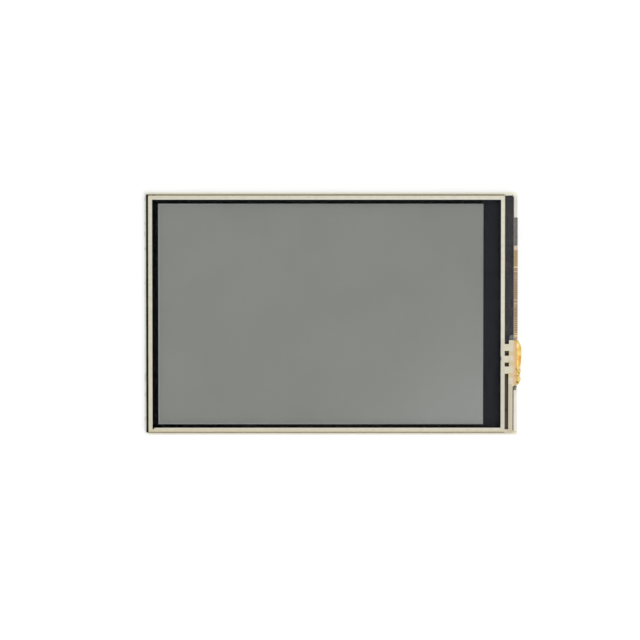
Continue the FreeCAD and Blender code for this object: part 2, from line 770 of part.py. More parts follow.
def make_touch_tail():
    """The tail leaves the panel between film and glass, swells out past the frame and comes back under it."""
    body = new_body("touch_tail", tail_low)
    high = less(plus(conductor_low, s.tail_thick), tail_low)
    full_swell = f"({less(high, s.tail_side_flat)}) / 2"
    bond = plus(patch_left, s.tail_bond_play, s.tail_bond_play)
    sketches = []
    for down, out in TAIL_SWELL:
        place = less(tail_top, f"{down} * {s.tail_wide}")
        sketch = new_sketch(body, f"tail_edge_{len(sketches) + 1}", "XZ_Plane", minus(place))
        swell = f"{out} * {full_swell}"
        out_at = plus(touch_right, s.tail_run, swell)
        draw_fold(sketch, bond, tail_end, "0", high, out_at, swell, s.tail_thick)
        sketches.append(sketch)
    loft = body.newObject("PartDesign::AdditiveLoft", "tail_sheet")
    loft.Profile = sketches[0]
    loft.Sections = sketches[1:]
    loft.Ruled = True
    joints = new_body("tail_solder", tail_low)
    joints.AllowCompound = True
    high = plus(s.tail_thick, s.solder_gap)
    middle = f"({plus(tail_top, tail_bottom)}) / 2"
    first = less(middle, f"({s.solder_count} - 1) * {s.solder_pitch} / 2", f"{s.solder_wide} / 2")
    sketch = new_sketch(joints, "joint_edge", "XZ_Plane", minus(plus(first, s.solder_wide)))
    draw_polygon(sketch, [
        (tail_end, "0"),
        (tail_end, high),
        (less(tail_end, s.solder_long), high),
    ])
    joint = joints.newObject("PartDesign::Pad", "joint")
    joint.Profile = sketch
    joint.setExpression("Length", s.solder_wide)
    repeat_along_y(joints, "joints", joint, s.solder_count, s.solder_pitch)


def make_main_flex():
    body = new_body("main_flex", flex_low)
    fold = new_sketch(body, "flex_edge", "XZ_Plane", minus(flex_top))
    bond = less(cell_right, s.flex_bond)
    high = plus(less(tft_high, flex_low), s.flex_thick)
    bend = f"({less(high, s.flex_side_flat)}) / 2"
    draw_fold(fold, bond, wing_left, "0", high, plus(frame_right, s.flex_proud), bend, s.flex_thick)
    strip = body.newObject("PartDesign::Pad", "flex_fold")
    strip.Profile = fold
    strip.setExpression("Length", s.flex_wide)
    end_low, end_high = less(s.flex_above_middle, contact_half), plus(s.flex_above_middle, contact_half)
    neck = less(flex_neck, s.flex_neck_long)
    wing_bottom = less(flex_bottom, s.wing_wide)
    wing_corner = (wing_left, flex_bottom)
    outline = [
        (wing_right, flex_top),
        (flex_neck, flex_top),
        (neck, end_high),
        (contact_end, end_high),
        (contact_end, end_low),
        (neck, end_low),
        (flex_neck, flex_bottom),
        wing_corner,
        (wing_left, wing_bottom),
        (wing_right, wing_bottom),
    ]
    pad(body, "flex_back", [outline], s.flex_thick)
    round_corners(body, "wing_corners", [wing_corner, *outline[-2:]], s.flex_corner)
    make_contacts(end_low, end_high)
    make_flex_parts()


def make_contacts(end_low, end_high):
    fingers = new_body("flex_contacts", less(flex_low, s.contact_thick))
    fingers.AllowCompound = True
    first = plus(end_low, s.contact_margin, f"({s.contact_pitch} - {s.contact_wide}) / 2")
    finger = pad(
        fingers, "finger",
        [rectangle(contact_end, plus(contact_end, s.contact_long), first, plus(first, s.contact_wide))],
        s.contact_thick,
    )
    repeat_along_y(fingers, "fingers", finger, s.contact_count, s.contact_pitch)
    stiffener_right = plus(contact_end, s.stiffener_long)
    box("flex_stiffener", (contact_end, stiffener_right), (end_low, end_high),
        (flex_high, plus(flex_high, s.stiffener_thick)))
    tape_left = plus(stiffener_right, s.flex_tape_gap)
    box("flex_tape", (tape_left, plus(tape_left, s.flex_tape_long)),
        (plus(end_low, s.flex_tape_inset), less(end_high, s.flex_tape_inset)), (flex_high, back))


def make_flex_parts():
    """The small parts soldered in a row on the outer face of the folded flex."""
    for i in range(SIZES["part_count"]):
        middle = plus(s.flex_above_middle, f"({i} - ({s.part_count} - 1) / 2) * {s.part_pitch}")
        half = f"{s.part_wide} / 2"
        left = plus(flex_neck, s.part_past_neck)
        box(f"capacitor_{i + 1}", (left, plus(left, s.part_long)),
            (less(middle, half), plus(middle, half)), ("0", flex_low))


def make_edge_tape():
    body = new_body("edge_tape", back)
    tape_top = plus(recess_top, s.edge_tape_gap, s.edge_tape_wide)
    sketch = new_sketch(body, "tape_edge", "XZ_Plane", minus(tape_top))
    tall = less(filter_high, back)
    thick = s.edge_tape_thick
    out = plus(frame_right, thick)
    front_end, back_end = plus(touch_right, s.edge_tape_play), less(frame_right, s.edge_tape_back)
    draw_polygon(sketch, [
        (front_end, tall),
        (frame_right, tall),
        (frame_right, "0"),
        (back_end, "0"),
        (back_end, minus(thick)),
        (out, minus(thick)),
        (out, plus(tall, thick)),
        (front_end, plus(tall, thick)),
    ])
    strip = body.newObject("PartDesign::Pad", "tape_strip")
    strip.Profile = sketch
    strip.setExpression("Length", s.edge_tape_wide)


def check_model():
    doc.recompute()
    faults = [item.Name for item in doc.Objects if {"Invalid", "Error"} & set(item.State)]
    faults += [item.Label for item in sub_parts if item.Shape.isNull() or not item.Shape.isValid()]
    if faults:
        raise RuntimeError(f"these failed: {faults}")


make_frame()
make_back_plate()
make_light_box()
make_lamps()
make_cell()
make_touch_panel()
make_touch_tail()
make_main_flex()
make_edge_tape()
check_model()

os.makedirs("parts", exist_ok=True)
for item in sub_parts:
    item.Shape.exportStep(f"parts/{item.Label}.step")
    print(item.Label, len(item.Shape.Solids), "solids", round(item.Shape.Volume, 3), "mm3")
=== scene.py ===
"""The looks of a small display module with a touch panel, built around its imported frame.

The file's calls take metres. Names that end in MM, and the tables of places, are in millimetres.
"""

import math

import bmesh
import bpy
from bpy.props import FloatProperty, FloatVectorProperty, IntProperty, PointerProperty
from mathutils import Matrix, Vector


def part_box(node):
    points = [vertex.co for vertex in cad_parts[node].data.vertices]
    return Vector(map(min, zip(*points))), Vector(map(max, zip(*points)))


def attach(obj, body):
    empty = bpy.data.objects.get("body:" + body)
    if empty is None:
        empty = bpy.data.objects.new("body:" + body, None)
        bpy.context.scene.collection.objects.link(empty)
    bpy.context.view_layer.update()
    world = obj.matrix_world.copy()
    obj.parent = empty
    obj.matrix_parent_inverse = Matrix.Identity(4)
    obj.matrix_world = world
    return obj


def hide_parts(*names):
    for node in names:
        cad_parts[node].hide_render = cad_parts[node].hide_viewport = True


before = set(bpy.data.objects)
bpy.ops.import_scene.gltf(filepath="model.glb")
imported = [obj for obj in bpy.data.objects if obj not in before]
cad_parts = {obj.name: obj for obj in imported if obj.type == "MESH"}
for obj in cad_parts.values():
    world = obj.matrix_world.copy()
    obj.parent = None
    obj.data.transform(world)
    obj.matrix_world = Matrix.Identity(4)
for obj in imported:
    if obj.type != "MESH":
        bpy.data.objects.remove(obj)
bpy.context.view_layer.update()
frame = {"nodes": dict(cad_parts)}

bl_info = {
    "name": "Display Module",
    "version": (1, 0, 0),
    "blender": (4, 5, 0),
    "location": "3D View > Sidebar > Module",
    "description": "Dresses the packed solids of a display module with a touch panel",
    "category": "Object",
}

MM = 0.001
MICRON = MM / 1000
BODY = "root"
FILM_IOR = 1.5


def srgb(red, green, blue):
    """A screen colour, 0 to 255, as the linear colour that a shader takes."""
    shares = [c / 255 for c in (red, green, blue)]
    return tuple(c / 12.92 if c <= 0.04045 else ((c + 0.055) / 1.055) ** 2.4 for c in shares)


# Sizes and colours that a user may change


def length(name, description, millimetres):
    return FloatProperty(
        name=name, description=description, default=millimetres * MM, min=0.0,
        precision=6, unit="LENGTH", subtype="DISTANCE",
    )


def colour(name, description, *shade):
    return FloatVectorProperty(
        name=name, description=description, default=srgb(*shade), min=0.0, max=1.0,
        size=3, subtype="COLOR",
    )


class ModuleSizes(bpy.types.PropertyGroup):
    """Sizes of the dressed pieces."""

    frame_round: length("Frame Rounding", "Radius along the edges of the moulded frame", 0.08)
    plate_round: length("Plate Rounding", "Radius along the edges of the stamped back plate", 0.03)
    layer_round: length("Layer Rounding", "Radius along the edges of films and glass", 0.02)
    layer_gap: length("Layer Gap", "Air left round each clear layer", 0.004)
    trace_wide: length("Trace Width", "Width of a narrow copper trace", 0.2)
    trace_power: length("Power Trace Width", "Width of a supply trace", 0.34)
    trace_tall: length("Trace Height", "How far a trace stands out under the cover layer", 0.012)
    tail_crumple: length("Tail Crumple", "Depth of the soft waves in the touch tail", 0.03)
    cap_end: length("Capacitor End", "Length of the tinned end of a capacitor", 0.22)
    tail_columns: IntProperty(
        name="Tail Columns", description="Faces along the touch tail", default=88, min=20, max=200
    )
    tail_rows: IntProperty(
        name="Tail Rows", description="Faces across the touch tail", default=110, min=20, max=200
    )


class ModuleColours(bpy.types.PropertyGroup):
    """Colours of the finishes."""

    frame: colour("Frame", "Moulded frame", 240, 237, 225)
    cream: colour("Conductors", "Printed conductors of the touch panel", 221, 216, 196)
    window: colour("Window", "Picture area of the display, switched off", 200, 203, 196)
    mask: colour("Mask", "Dark border inside the display", 12, 13, 18)
    tape: colour("Dark Tape", "Tape under the right edge of the touch panel", 55, 54, 60)
    edge_tape: colour("Edge Tape", "Grey tape over the right edge", 120, 117, 108)
    flex: colour("Flex", "Cover layer of the main flex", 153, 129, 100)
    trace: colour("Trace", "Copper seen through the cover layer", 181, 156, 121)
    tail: colour("Touch Tail", "Yellow film of the touch tail", 255, 222, 98)
    tail_base: colour("Touch Tail Base", "Film where it is bonded", 222, 186, 138)
    gold: colour("Gold", "Plating of the contacts", 232, 190, 112)
    steel: colour("Steel", "Stamped back plate", 190, 190, 187)


class StageSettings(bpy.types.PropertyGroup):
    """Camera and lamps."""

    distance: FloatProperty(
        name="Camera Distance", description="From the camera to the point it aims at",
        default=0.5, min=0.05, unit="LENGTH", subtype="DISTANCE",
    )
    aim: FloatVectorProperty(
        name="Camera Aim", description="The point that the middle of the picture shows",
        default=(-0.002436, -0.001462, 0.0025), size=3, unit="LENGTH", subtype="TRANSLATION",
    )
    tilt: FloatVectorProperty(
        name="Camera Tilt", description="Turn of the camera from looking straight down",
        default=tuple(math.radians(a) for a in (-1.69, -0.1, 0.0)), size=3,
        unit="ROTATION", subtype="EULER",
    )
    lens: FloatProperty(
        name="Lens", description="Focal length in millimetres on a 36 mm sensor", default=123.77, min=10.0
    )
    lamp_power: FloatProperty(
        name="Soft Lamp", description="Power of the soft lamp overhead", default=5.5, min=0.0, unit="POWER"
    )
    sky_level: FloatProperty(
        name="Sky Level", description="How bright the surroundings light the object", default=0.55, min=0.0
    )


# Node trees in few words


class Tree:
    """Adds nodes to the tree of a material, a world or a group, and links what it is given."""

    def __init__(self, tree):
        self.tree = tree

    def set(self, socket, given):
        if isinstance(given, bpy.types.NodeSocket):
            self.tree.links.new(given, socket)
        else:
            socket.default_value = (*given, 1.0) if socket.type == "RGBA" else given

    def add(self, kind, out=0, **inputs):
        """A new node's output. Inputs are named as its sockets are, with _ for a space."""
        node = self.tree.nodes.new("ShaderNode" + kind)
        for name, given in inputs.items():
            self.set(node.inputs[name.replace("_", " ")], given)
        return node.outputs[out] if node.outputs else None

    def make(self, kind, *given, **choices):
        """The first output of a new node with these choices, whose inputs are filled in order."""
        node = self.tree.nodes.new("ShaderNode" + kind)
        for name, choice in choices.items():
            setattr(node, name, choice)
        for socket, value in zip(node.inputs, given):
            self.set(socket, value)
        return node.outputs[0]

    def math(self, operation, *terms):
        return self.make("Math", *terms, operation=operation)

    def times(self, a, b):
        return self.math("MULTIPLY", a, b)

    def plus(self, a, b):
        return self.math("ADD", a, b)

    def minus(self, a, b):
        return self.math("SUBTRACT", a, b)

    def blend(self, share, a, b):
        """Colour a turning into colour b as share goes from 0 to 1."""
        node = self.tree.nodes.new("ShaderNodeMix")
        node.data_type = "RGBA"
        for place, given in ((0, share), (6, a), (7, b)):
            self.set(node.inputs[place], given)
        return node.outputs[2]

    def remap(self, given, low, high, to_low=0.0, to_high=1.0, smooth=True):
        kind = "SMOOTHSTEP" if smooth else "LINEAR"
        return self.make("MapRange", given, low, high, to_low, to_high, interpolation_type=kind, clamp=True)

    def fade(self, place, start, full, smooth=True):
        """A mask that rises from 0 to 1 between two places, in millimetres."""
        return self.remap(place, start * MM, full * MM, smooth=smooth)

    def place(self, stretch=None):
        """Object coordinates, stretched where asked."""
        spot = self.add("TexCoord", out="Object")
        return self.add("Mapping", Vector=spot, Scale=stretch) if stretch else spot

    def split(self, vector):
        node = self.tree.nodes.new("ShaderNodeSeparateXYZ")
        self.set(node.inputs[0], vector)
        return node.outputs

    def here(self):
        """The x, y and z of the place, in metres."""
        return self.split(self.place())

    def facing(self):
        """The x, y and z of the way that the face looks."""
        return self.split(self.add("NewGeometry", out="Normal"))

    def noise(self, size_mm, detail=2.0, stretch=None):
        """Soft noise whose blotches are about size_mm across."""
        return self.add(
            "TexNoise", Vector=self.place(stretch), Scale=1 / (size_mm * MM), Detail=detail, Roughness=0.55
        )

    def group(self, name, **inputs):
        """The outputs of a shared group."""
        node = self.tree.nodes.new("ShaderNodeGroup")
        node.node_tree = bpy.data.node_groups[name]
        for label, given in inputs.items():
            self.set(node.inputs[label.replace("_", " ")], given)
        return node.outputs

    def outside(self, area):
        """How far a place lies outside an area, in millimetres, and less than 0 inside it."""
        x, y, half_x, half_y = area
        return self.group("Rectangle", Middle_X=x, Middle_Y=y, Half_X=half_x, Half_Y=half_y)["Distance"]

    def patch(self, area, outer=0.05, inner=-0.05):
        """A mask over an area, with a soft rim between two distances from it."""
        return self.remap(self.outside(area), outer, inner)

    def line(self, start, end, width):
        """A mask along a line between two places, in millimetres."""
        ends = dict(zip(("From_X", "From_Y", "To_X", "To_Y"), (*start, *end)))
        return self.group("Line", Width=width, **ends)["Mask"]


def empty_tree(owner):
    """The cleared node tree of a material or a world."""
    owner.use_nodes = True
    owner.node_tree.nodes.clear()
    return Tree(owner.node_tree)


def new_group(name, inputs, outputs, fill):
    """A shader node group. fill(tree, given) returns the socket of each output."""
    group = bpy.data.node_groups.new(name, "ShaderNodeTree")
    for label, start in inputs.items():
        kind = "NodeSocketColor" if isinstance(start, tuple) else "NodeSocketFloat"
        socket = group.interface.new_socket(name=label, in_out="INPUT", socket_type=kind)
        socket.default_value = (*start, 1.0) if isinstance(start, tuple) else start
    for label in outputs:
        kind = "NodeSocketColor" if label == "Colour" else "NodeSocketFloat"
        group.interface.new_socket(name=label, in_out="OUTPUT", socket_type=kind)
    given = group.nodes.new("NodeGroupInput").outputs
    result = group.nodes.new("NodeGroupOutput").inputs
    for label, socket in fill(Tree(group), given).items():
        group.links.new(socket, result[label])


def fill_mottle(tree, given):
    """Two shades that run into each other in soft blotches."""
    broad = tree.add("TexNoise", Vector=tree.place(), Scale=given["Scale"], Detail=3.0, Roughness=0.6)
    return {"Colour": tree.blend(tree.remap(broad, 0.34, 0.66), given["Dark"], given["Pale"])}


def fill_surface(tree, given):
    """Fine grain, as a height, and as a roughness between two limits that a wider noise helps to vary."""
    vector = tree.place()
    fine = tree.add("TexNoise", Vector=vector, Scale=given["Scale"], Detail=2.0, Roughness=0.5)
    wide_scale = tree.times(given["Scale"], 0.04)
    wide = tree.add("TexNoise", Vector=vector, Scale=wide_scale, Detail=2.0)
    both = tree.plus(tree.times(fine, 0.35), tree.times(wide, 0.65))
    return {"Height": fine, "Roughness": tree.remap(both, 0.35, 0.65, given["Smooth"], given["Rough"])}


def fill_specks(tree, given):
    """Small round specks, strewn at random. Share is how many of the cells hold one."""
    cells = tree.tree.nodes.new("ShaderNodeTexVoronoi")
    tree.set(cells.inputs["Vector"], tree.place())
    tree.set(cells.inputs["Scale"], given["Scale"])
    chosen = tree.math("LESS_THAN", tree.split(cells.outputs["Color"])[0], given["Share"])
    near = tree.remap(cells.outputs["Distance"], given["Radius"], 0.0)
    return {"Mask": tree.times(near, chosen)}


def fill_rectangle(tree, given):
    """How far a point lies outside a rectangle seen from above, in millimetres, and less than 0 inside."""
    x, y, _ = tree.here()
    reach = []
    for place, middle, half in ((x, "Middle X", "Half X"), (y, "Middle Y", "Half Y")):
        in_mm = tree.times(place, 1 / MM)
        off = tree.math("ABSOLUTE", tree.minus(in_mm, given[middle]))
        reach.append(tree.minus(off, given[half]))
    return {"Distance": tree.math("MAXIMUM", *reach)}


def fill_line(tree, given):
    """A mask along a straight line between two places, seen from above, in millimetres."""
    x, y, _ = tree.here()
    px = tree.minus(tree.times(x, 1 / MM), given["From X"])
    py = tree.minus(tree.times(y, 1 / MM), given["From Y"])
    dx = tree.minus(given["To X"], given["From X"])
    dy = tree.minus(given["To Y"], given["From Y"])
    dot = tree.plus(tree.times(px, dx), tree.times(py, dy))
    size = tree.plus(tree.times(dx, dx), tree.times(dy, dy))
    along = tree.math("MINIMUM", tree.math("MAXIMUM", tree.math("DIVIDE", dot, size), 0.0), 1.0)
    ex = tree.minus(px, tree.times(along, dx))
    ey = tree.minus(py, tree.times(along, dy))
    squares = tree.plus(tree.times(ex, ex), tree.times(ey, ey))
    return {"Mask": tree.remap(tree.math("SQRT", squares), given["Width"], 0.0)}


def fill_stripes(tree, given):
    """Even stripes across a place value, in metres. Share is the width of a stripe in its pitch."""
    turns = tree.math("DIVIDE", tree.minus(given["Place"], given["Start"]), given["Pitch"])
    near = tree.math("ABSOLUTE", tree.minus(tree.math("FRACT", turns), 0.5))
    half = tree.times(given["Share"], 0.5)
    return {"Mask": tree.remap(near, tree.plus(half, 0.04), tree.minus(half, 0.04))}


def make_groups():
    new_group(
        "Mottle", {"Dark": (0.0, 0.0, 0.0), "Pale": (1.0, 1.0, 1.0), "Scale": 300.0}, ("Colour",), fill_mottle
    )
    new_group(
        "Surface", {"Scale": 9000.0, "Smooth": 0.4, "Rough": 0.6}, ("Height", "Roughness"), fill_surface
    )
    new_group("Specks", {"Scale": 1500.0, "Radius": 0.25, "Share": 0.3}, ("Mask",), fill_specks)
    new_group(
        "Rectangle", {"Middle X": 0.0, "Middle Y": 0.0, "Half X": 1.0, "Half Y": 1.0},
        ("Distance",), fill_rectangle,
    )
    new_group(
        "Line", {"From X": 0.0, "From Y": 0.0, "To X": 1.0, "To Y": 0.0, "Width": 0.1}, ("Mask",), fill_line
    )
    new_group("Stripes", {"Place": 0.0, "Start": 0.0, "Pitch": 0.0005, "Share": 0.5}, ("Mask",), fill_stripes)


def darker(shade, share):
    return tuple(c * share for c in shade)


class Finish:
    """A material in the making: blotched colour, grain, roughness, and what its maker adds.

    dark and pale are the shades of the blotches, rough the least and the most roughness, and fixed the
    values of the shader that are the same all over.
    """

    def __init__(self, name, dark, pale, blotch_mm, rough, grain_mm, grain_um, **fixed):
        self.material = bpy.data.materials.new(name)
        self.tree = empty_tree(self.material)
        self.colour = self.tree.group("Mottle", Dark=dark, Pale=pale, Scale=1 / (blotch_mm * MM))["Colour"]
        surface = self.tree.group("Surface", Scale=1 / (grain_mm * MM), Smooth=rough[0], Rough=rough[1])
        self.roughness = surface["Roughness"]
        self.heights = [(surface["Height"], grain_um)]
        self.fixed = fixed

    def tint(self, mask, shade, strength=1.0):
        """Lays a shade over the colour where the mask is 1."""
        share = mask if strength == 1.0 else self.tree.times(mask, strength)
        self.colour = self.tree.blend(share, self.colour, shade)

    def raise_up(self, mask, microns):
        self.heights.append((mask, microns))

    def shader(self):
        tree = self.tree
        total = 0.0
        for mask, microns in self.heights:
            total = tree.plus(total, tree.times(mask, microns))
        normal = tree.add("Bump", Height=total, Distance=MICRON, Strength=1.0)
        return tree.add(
            "BsdfPrincipled", Base_Color=self.colour, Roughness=self.roughness, Normal=normal, **self.fixed
        )

    def done(self, surface=None):
        self.tree.add("OutputMaterial", Surface=surface or self.shader())
        return self.material

    def clear(self, flat, upright, gloss=0.0):
        """See-through on its flat faces, cloudier on its upright cut edges, glossy at a low angle.

        flat and upright are how much of the finish covers such faces.
        """
        tree = self.tree
        edge = tree.remap(tree.math("ABSOLUTE", tree.facing()[2]), 0.75, 0.35)
        haze = tree.plus(tree.times(edge, upright - flat), flat)
        veil = tree.make("MixShader", haze, tree.add("BsdfTransparent"), self.shader())
        if not gloss:
            return self.done(veil)
        # looked at straight on, it mirrors nothing, so that the layers below keep their colour
        straight = ((FILM_IOR - 1) / (FILM_IOR + 1)) ** 2
        fresnel = tree.add("Fresnel", IOR=FILM_IOR)
        mirror = tree.remap(fresnel, straight * 1.02, 1.0, 0.0, gloss, smooth=False)
        front = tree.minus(1.0, tree.add("NewGeometry", out="Backfacing"))
        shine = tree.add("BsdfGlossy", Color=(1.0, 1.0, 1.0), Roughness=0.12)
        return self.done(tree.make("MixShader", tree.times(mirror, front), veil, shine))


# Places of the marks on the finishes

# in millimetres, seen from above: an area is the x and y of its middle, then half its size along each
RING_INNER_EDGE = (-0.945, -0.035, 39.475, 25.835)
TAIL_CONDUCTORS = ((40.85, -8.95, 0.62, 0.5), (40.85, -11.3, 0.62, 0.55), (40.85, -13.95, 0.62, 0.52))
RIGHT_STRIP = (40.6, -21.5, 0.6, 5.6)
RIGHT_BUS = (38.95, -16.0, 0.5, 10.5)
BESIDE_TAIL = (41.6, -11.1, 0.5, 5.2)
BUS_NICK = ((38.5, -9.85), (38.54, -10.45))
VIEW_AREA = (-2.265, -0.125, 36.9, 25.05)
GRID_PITCH_MM = 0.153
TAPE_GAP_CORNER = (-40.13, 26.85, 0.32, 0.3)
BAND_BETWEEN_TIES = (39.95, -17.1, 0.85, 9.4)
TAIL_PAINTED_SHADE_CORE = (42.88, -10.6, 0.22, 1.05)
TAIL_GLINTS = (
    (42.95, -8.9, 0.1, 0.45), (42.8, -12.3, 0.1, 0.3), (42.75, -14.7, 0.1, 0.35), (42.4, -7.2, 0.1, 0.3),
)
# start, end, width, shade and strength of each line of painted shade along a crease, one of them paler
TAIL_PAINTED_CREASE_SHADE = (
    ((42.0, -12.4), (42.85, -13.75), 0.2, (120, 70, 30), 0.85),
    ((41.75, -14.05), (42.9, -14.05), 0.17, (150, 96, 40), 0.75),
    ((42.25, -15.4), (42.55, -15.75), 0.32, (74, 46, 24), 0.97),
    ((42.6, -12.6), (42.9, -12.75), 0.2, (150, 104, 40), 0.7),
    ((42.2, -13.0), (42.25, -14.0), 0.15, (222, 160, 60), 0.6),
)
# the y of each painted highlight line across the fold of the main flex, half its width, and its strength
FLEX_PAINTED_HIGHLIGHT_LINES = (
    (10.55, 0.3, 1.0), (9.55, 0.2, 0.7), (3.1, 0.18, 0.7), (2.3, 0.18, 0.7), (-5.08, 0.4, 0.95),
)


# Materials


def make_frame_plastic(colours):
    """White moulding with fine dust and grey stains at the left. The upper faces of its walls are tinted wall
    by wall: with painted light, paler at the lower right and at the left, and paler at the top and yellower
    at the bottom.
    """
    pale = tuple(colours.frame)
    made = Finish(
        "frame_plastic", darker(pale, 0.9), pale,
        blotch_mm=6.0, rough=(0.42, 0.58), grain_mm=0.09, grain_um=3.0, Specular_IOR_Level=0.4,
    )
    tree = made.tree
    made.tint(tree.noise(0.5, 3.0), darker(pale, 0.9), 0.25)
    dust = tree.group("Specks", Scale=420.0, Radius=0.09, Share=0.12)["Mask"]
    made.tint(dust, srgb(150, 146, 134), 0.4)
    x, y, _ = tree.here()
    up = tree.remap(tree.facing()[2], 0.5, 0.8)
    painted_light_low_right = tree.times(tree.fade(x, 40.5, 41.5), tree.fade(y, -14.0, -19.0))
    top = tree.fade(y, 26.4, 26.7)
    bottom = tree.fade(y, -26.4, -26.7)
    left = tree.fade(x, -41.3, -41.6)
    stains = tree.times(left, tree.remap(tree.noise(2.2, 3.0), 0.5, 0.64))
    # painted light on the upper faces of the walls: paler at the lower right, where most light falls, and at
    # the left, against the touch panel's shadow; the top paler, the bottom yellower, and grey stains at the
    # left
    for where, shade, strength in (
        (painted_light_low_right, (255, 252, 240), 0.9),
        (top, (255, 252, 234), 0.9),
        (bottom, (246, 237, 211), 0.85),
        (left, (255, 254, 248), 0.95),
        (stains, (206, 204, 200), 0.5),
    ):
        made.tint(tree.times(where, up), srgb(*shade), strength)
    return made.done()


def make_steel(colours):
    """Bright steel, brushed along the module."""
    pale = tuple(colours.steel)
    made = Finish(
        "plate_brushed", darker(pale, 0.95), pale,
        blotch_mm=14.0, rough=(0.35, 0.42), grain_mm=0.05, grain_um=0.6, Metallic=1.0, Anisotropic=0.4,
    )
    tree = made.tree
    brush = tree.noise(0.05, 2.0, stretch=(0.02, 1.0, 1.0))
    made.tint(tree.remap(brush, 0.4, 0.62), darker(pale, 0.8), 0.5)
    made.raise_up(brush, 2.5)
    made.roughness = tree.plus(made.roughness, tree.times(brush, 0.08))
    return made.done()


def make_cream(colours):
    """Printed paste, greyer along its inner edge, yellower outside and over the tail's conductors."""
    pale = tuple(colours.cream)
    made = Finish(
        "cream_paste", darker(pale, 0.92), pale,
        blotch_mm=1.6, rough=(0.5, 0.68), grain_mm=0.04, grain_um=2.0, Specular_IOR_Level=0.3,
    )
    tree = made.tree
    x, y, _ = tree.here()
    aslant = tree.plus(x, tree.times(y, 0.6))
    made.tint(tree.fade(aslant, -50.0, 42.0, smooth=False), srgb(231, 229, 216), 0.8)
    from_edge = tree.outside(RING_INNER_EDGE)
    made.tint(tree.remap(from_edge, 0.35, 0.85), srgb(220, 208, 172), 0.5)
    made.tint(tree.remap(from_edge, 0.3, 0.0), srgb(214, 210, 202), 0.6)
    made.tint(tree.fade(y, -25.5, -26.8), srgb(208, 196, 166), 0.45)
    for area in TAIL_CONDUCTORS:
        made.tint(tree.patch(area, 0.08, -0.08), srgb(217, 197, 146), 0.8)
    made.tint(tree.patch(RIGHT_STRIP, 0.08, -0.08), srgb(202, 192, 164), 0.7)
    made.tint(tree.patch(RIGHT_BUS, 0.0, -0.1), srgb(211, 207, 189), 0.65)
    made.tint(tree.line(*BUS_NICK, width=0.3), srgb(50, 46, 46), 0.95)
    made.tint(tree.patch(BESIDE_TAIL, 0.2, -0.4), srgb(232, 200, 164), 0.5)
    streak = tree.noise(0.12, 2.0, stretch=(0.12, 0.12, 1.0))
    made.tint(tree.remap(streak, 0.45, 0.7), srgb(196, 188, 160), 0.25)
    return made.done()


def make_window(colours):
    """The picture area: pale grey with its grid, painted paler towards the lower right as painted light, and
    paler along its lower left rim.
    """
    pale = tuple(colours.window)
    made = Finish(
        "picture_area", darker(pale, 0.955), pale,
        blotch_mm=18.0, rough=(0.5, 0.6), grain_mm=0.15, grain_um=0.5, Specular_IOR_Level=0.1,
    )
    tree = made.tree
    x, y, _ = tree.here()
    for axis in (x, y):
        grid = tree.group("Stripes", Place=axis, Start=0.0, Pitch=GRID_PITCH_MM * MM, Share=0.16)["Mask"]
        made.tint(grid, darker(pale, 0.6), 0.3)
    # painted light: paler towards the lower right
    painted_light_low_right = tree.fade(tree.minus(x, tree.times(y, 1.2)), 22.0, 70.0)
    made.tint(painted_light_low_right, srgb(222, 224, 222), 0.66)
    rim = tree.remap(tree.outside(VIEW_AREA), -0.32, -0.24)
    low_left = tree.fade(tree.plus(x, y), 20.0, -30.0)
    made.tint(tree.times(rim, low_left), srgb(228, 230, 234), 0.68)
    return made.done()


def make_mask(colours):
    """Black ink, greyer along its lower bar, with painted light: greyer towards the right and greyer still
    over the edge electronics.
    """
    shade = tuple(colours.mask)
    made = Finish(
        "mask_ink", darker(shade, 0.9), shade,
        blotch_mm=9.0, rough=(0.5, 0.62), grain_mm=0.1, grain_um=0.4, Specular_IOR_Level=0.05,
    )
    tree = made.tree
    x, y, _ = tree.here()
    # painted light: greyer towards the right
    made.tint(tree.fade(x, -40.0, 36.0, smooth=False), srgb(30, 31, 34), 0.9)
    low_bar = tree.times(tree.fade(y, -24.85, -25.0), tree.fade(x, -34.0, -2.0))
    made.tint(low_bar, srgb(48, 45, 40))
    # painted light: paler over the broad band at the right, above the edge electronics
    made.tint(tree.fade(x, 34.4, 34.7), srgb(56, 57, 64))
    return made.done()


def start_tape(name, shade):
    return Finish(
        name, darker(shade, 0.72), shade,
        blotch_mm=0.55, rough=(0.55, 0.75), grain_mm=0.05, grain_um=4.0, Specular_IOR_Level=0.2,
    )


def make_dark_tape():
    """Black foam tape, a thin line round the touch panel: painted light makes it tan at the top, and painted
    shade blackest at the left.
    """
    made = start_tape("tape_dark", srgb(34, 28, 20))
    tree = made.tree
    x, y, _ = tree.here()
    # painted light: tan at the top, in the narrow gap there
    made.tint(tree.fade(y, 26.6, 26.75), srgb(152, 136, 100), 0.85)
    # painted shade: blackest in the deep gap at the left, and at the gap's upper corner
    made.tint(tree.fade(x, -41.0, -41.3), srgb(14, 10, 4))
    made.tint(tree.patch(TAPE_GAP_CORNER), srgb(14, 11, 4))
    return made.done()


def make_band_tape(colours):
    """Dark tape with pale flecks and warmer clouds, brown where it shows between the ties, and painted
    lighter there as painted light.
    """
    made = start_tape("tape_band", tuple(colours.tape))
    tree = made.tree
    # painted light: lighter and browner where the tape shows between the ties, under the shade of the
    # conductors
    made.tint(tree.patch(BAND_BETWEEN_TIES, 0.1, -0.1), srgb(102, 90, 81))
    fleck = tree.group("Specks", Scale=2300.0, Radius=0.36, Share=0.26)["Mask"]
    made.tint(fleck, srgb(118, 117, 126), 0.65)
    clouds = tree.remap(tree.noise(1.5, 3.0, stretch=(1.0, 0.5, 1.0)), 0.5, 0.68)
    made.tint(clouds, srgb(68, 61, 60), 0.6)
    return made.done()


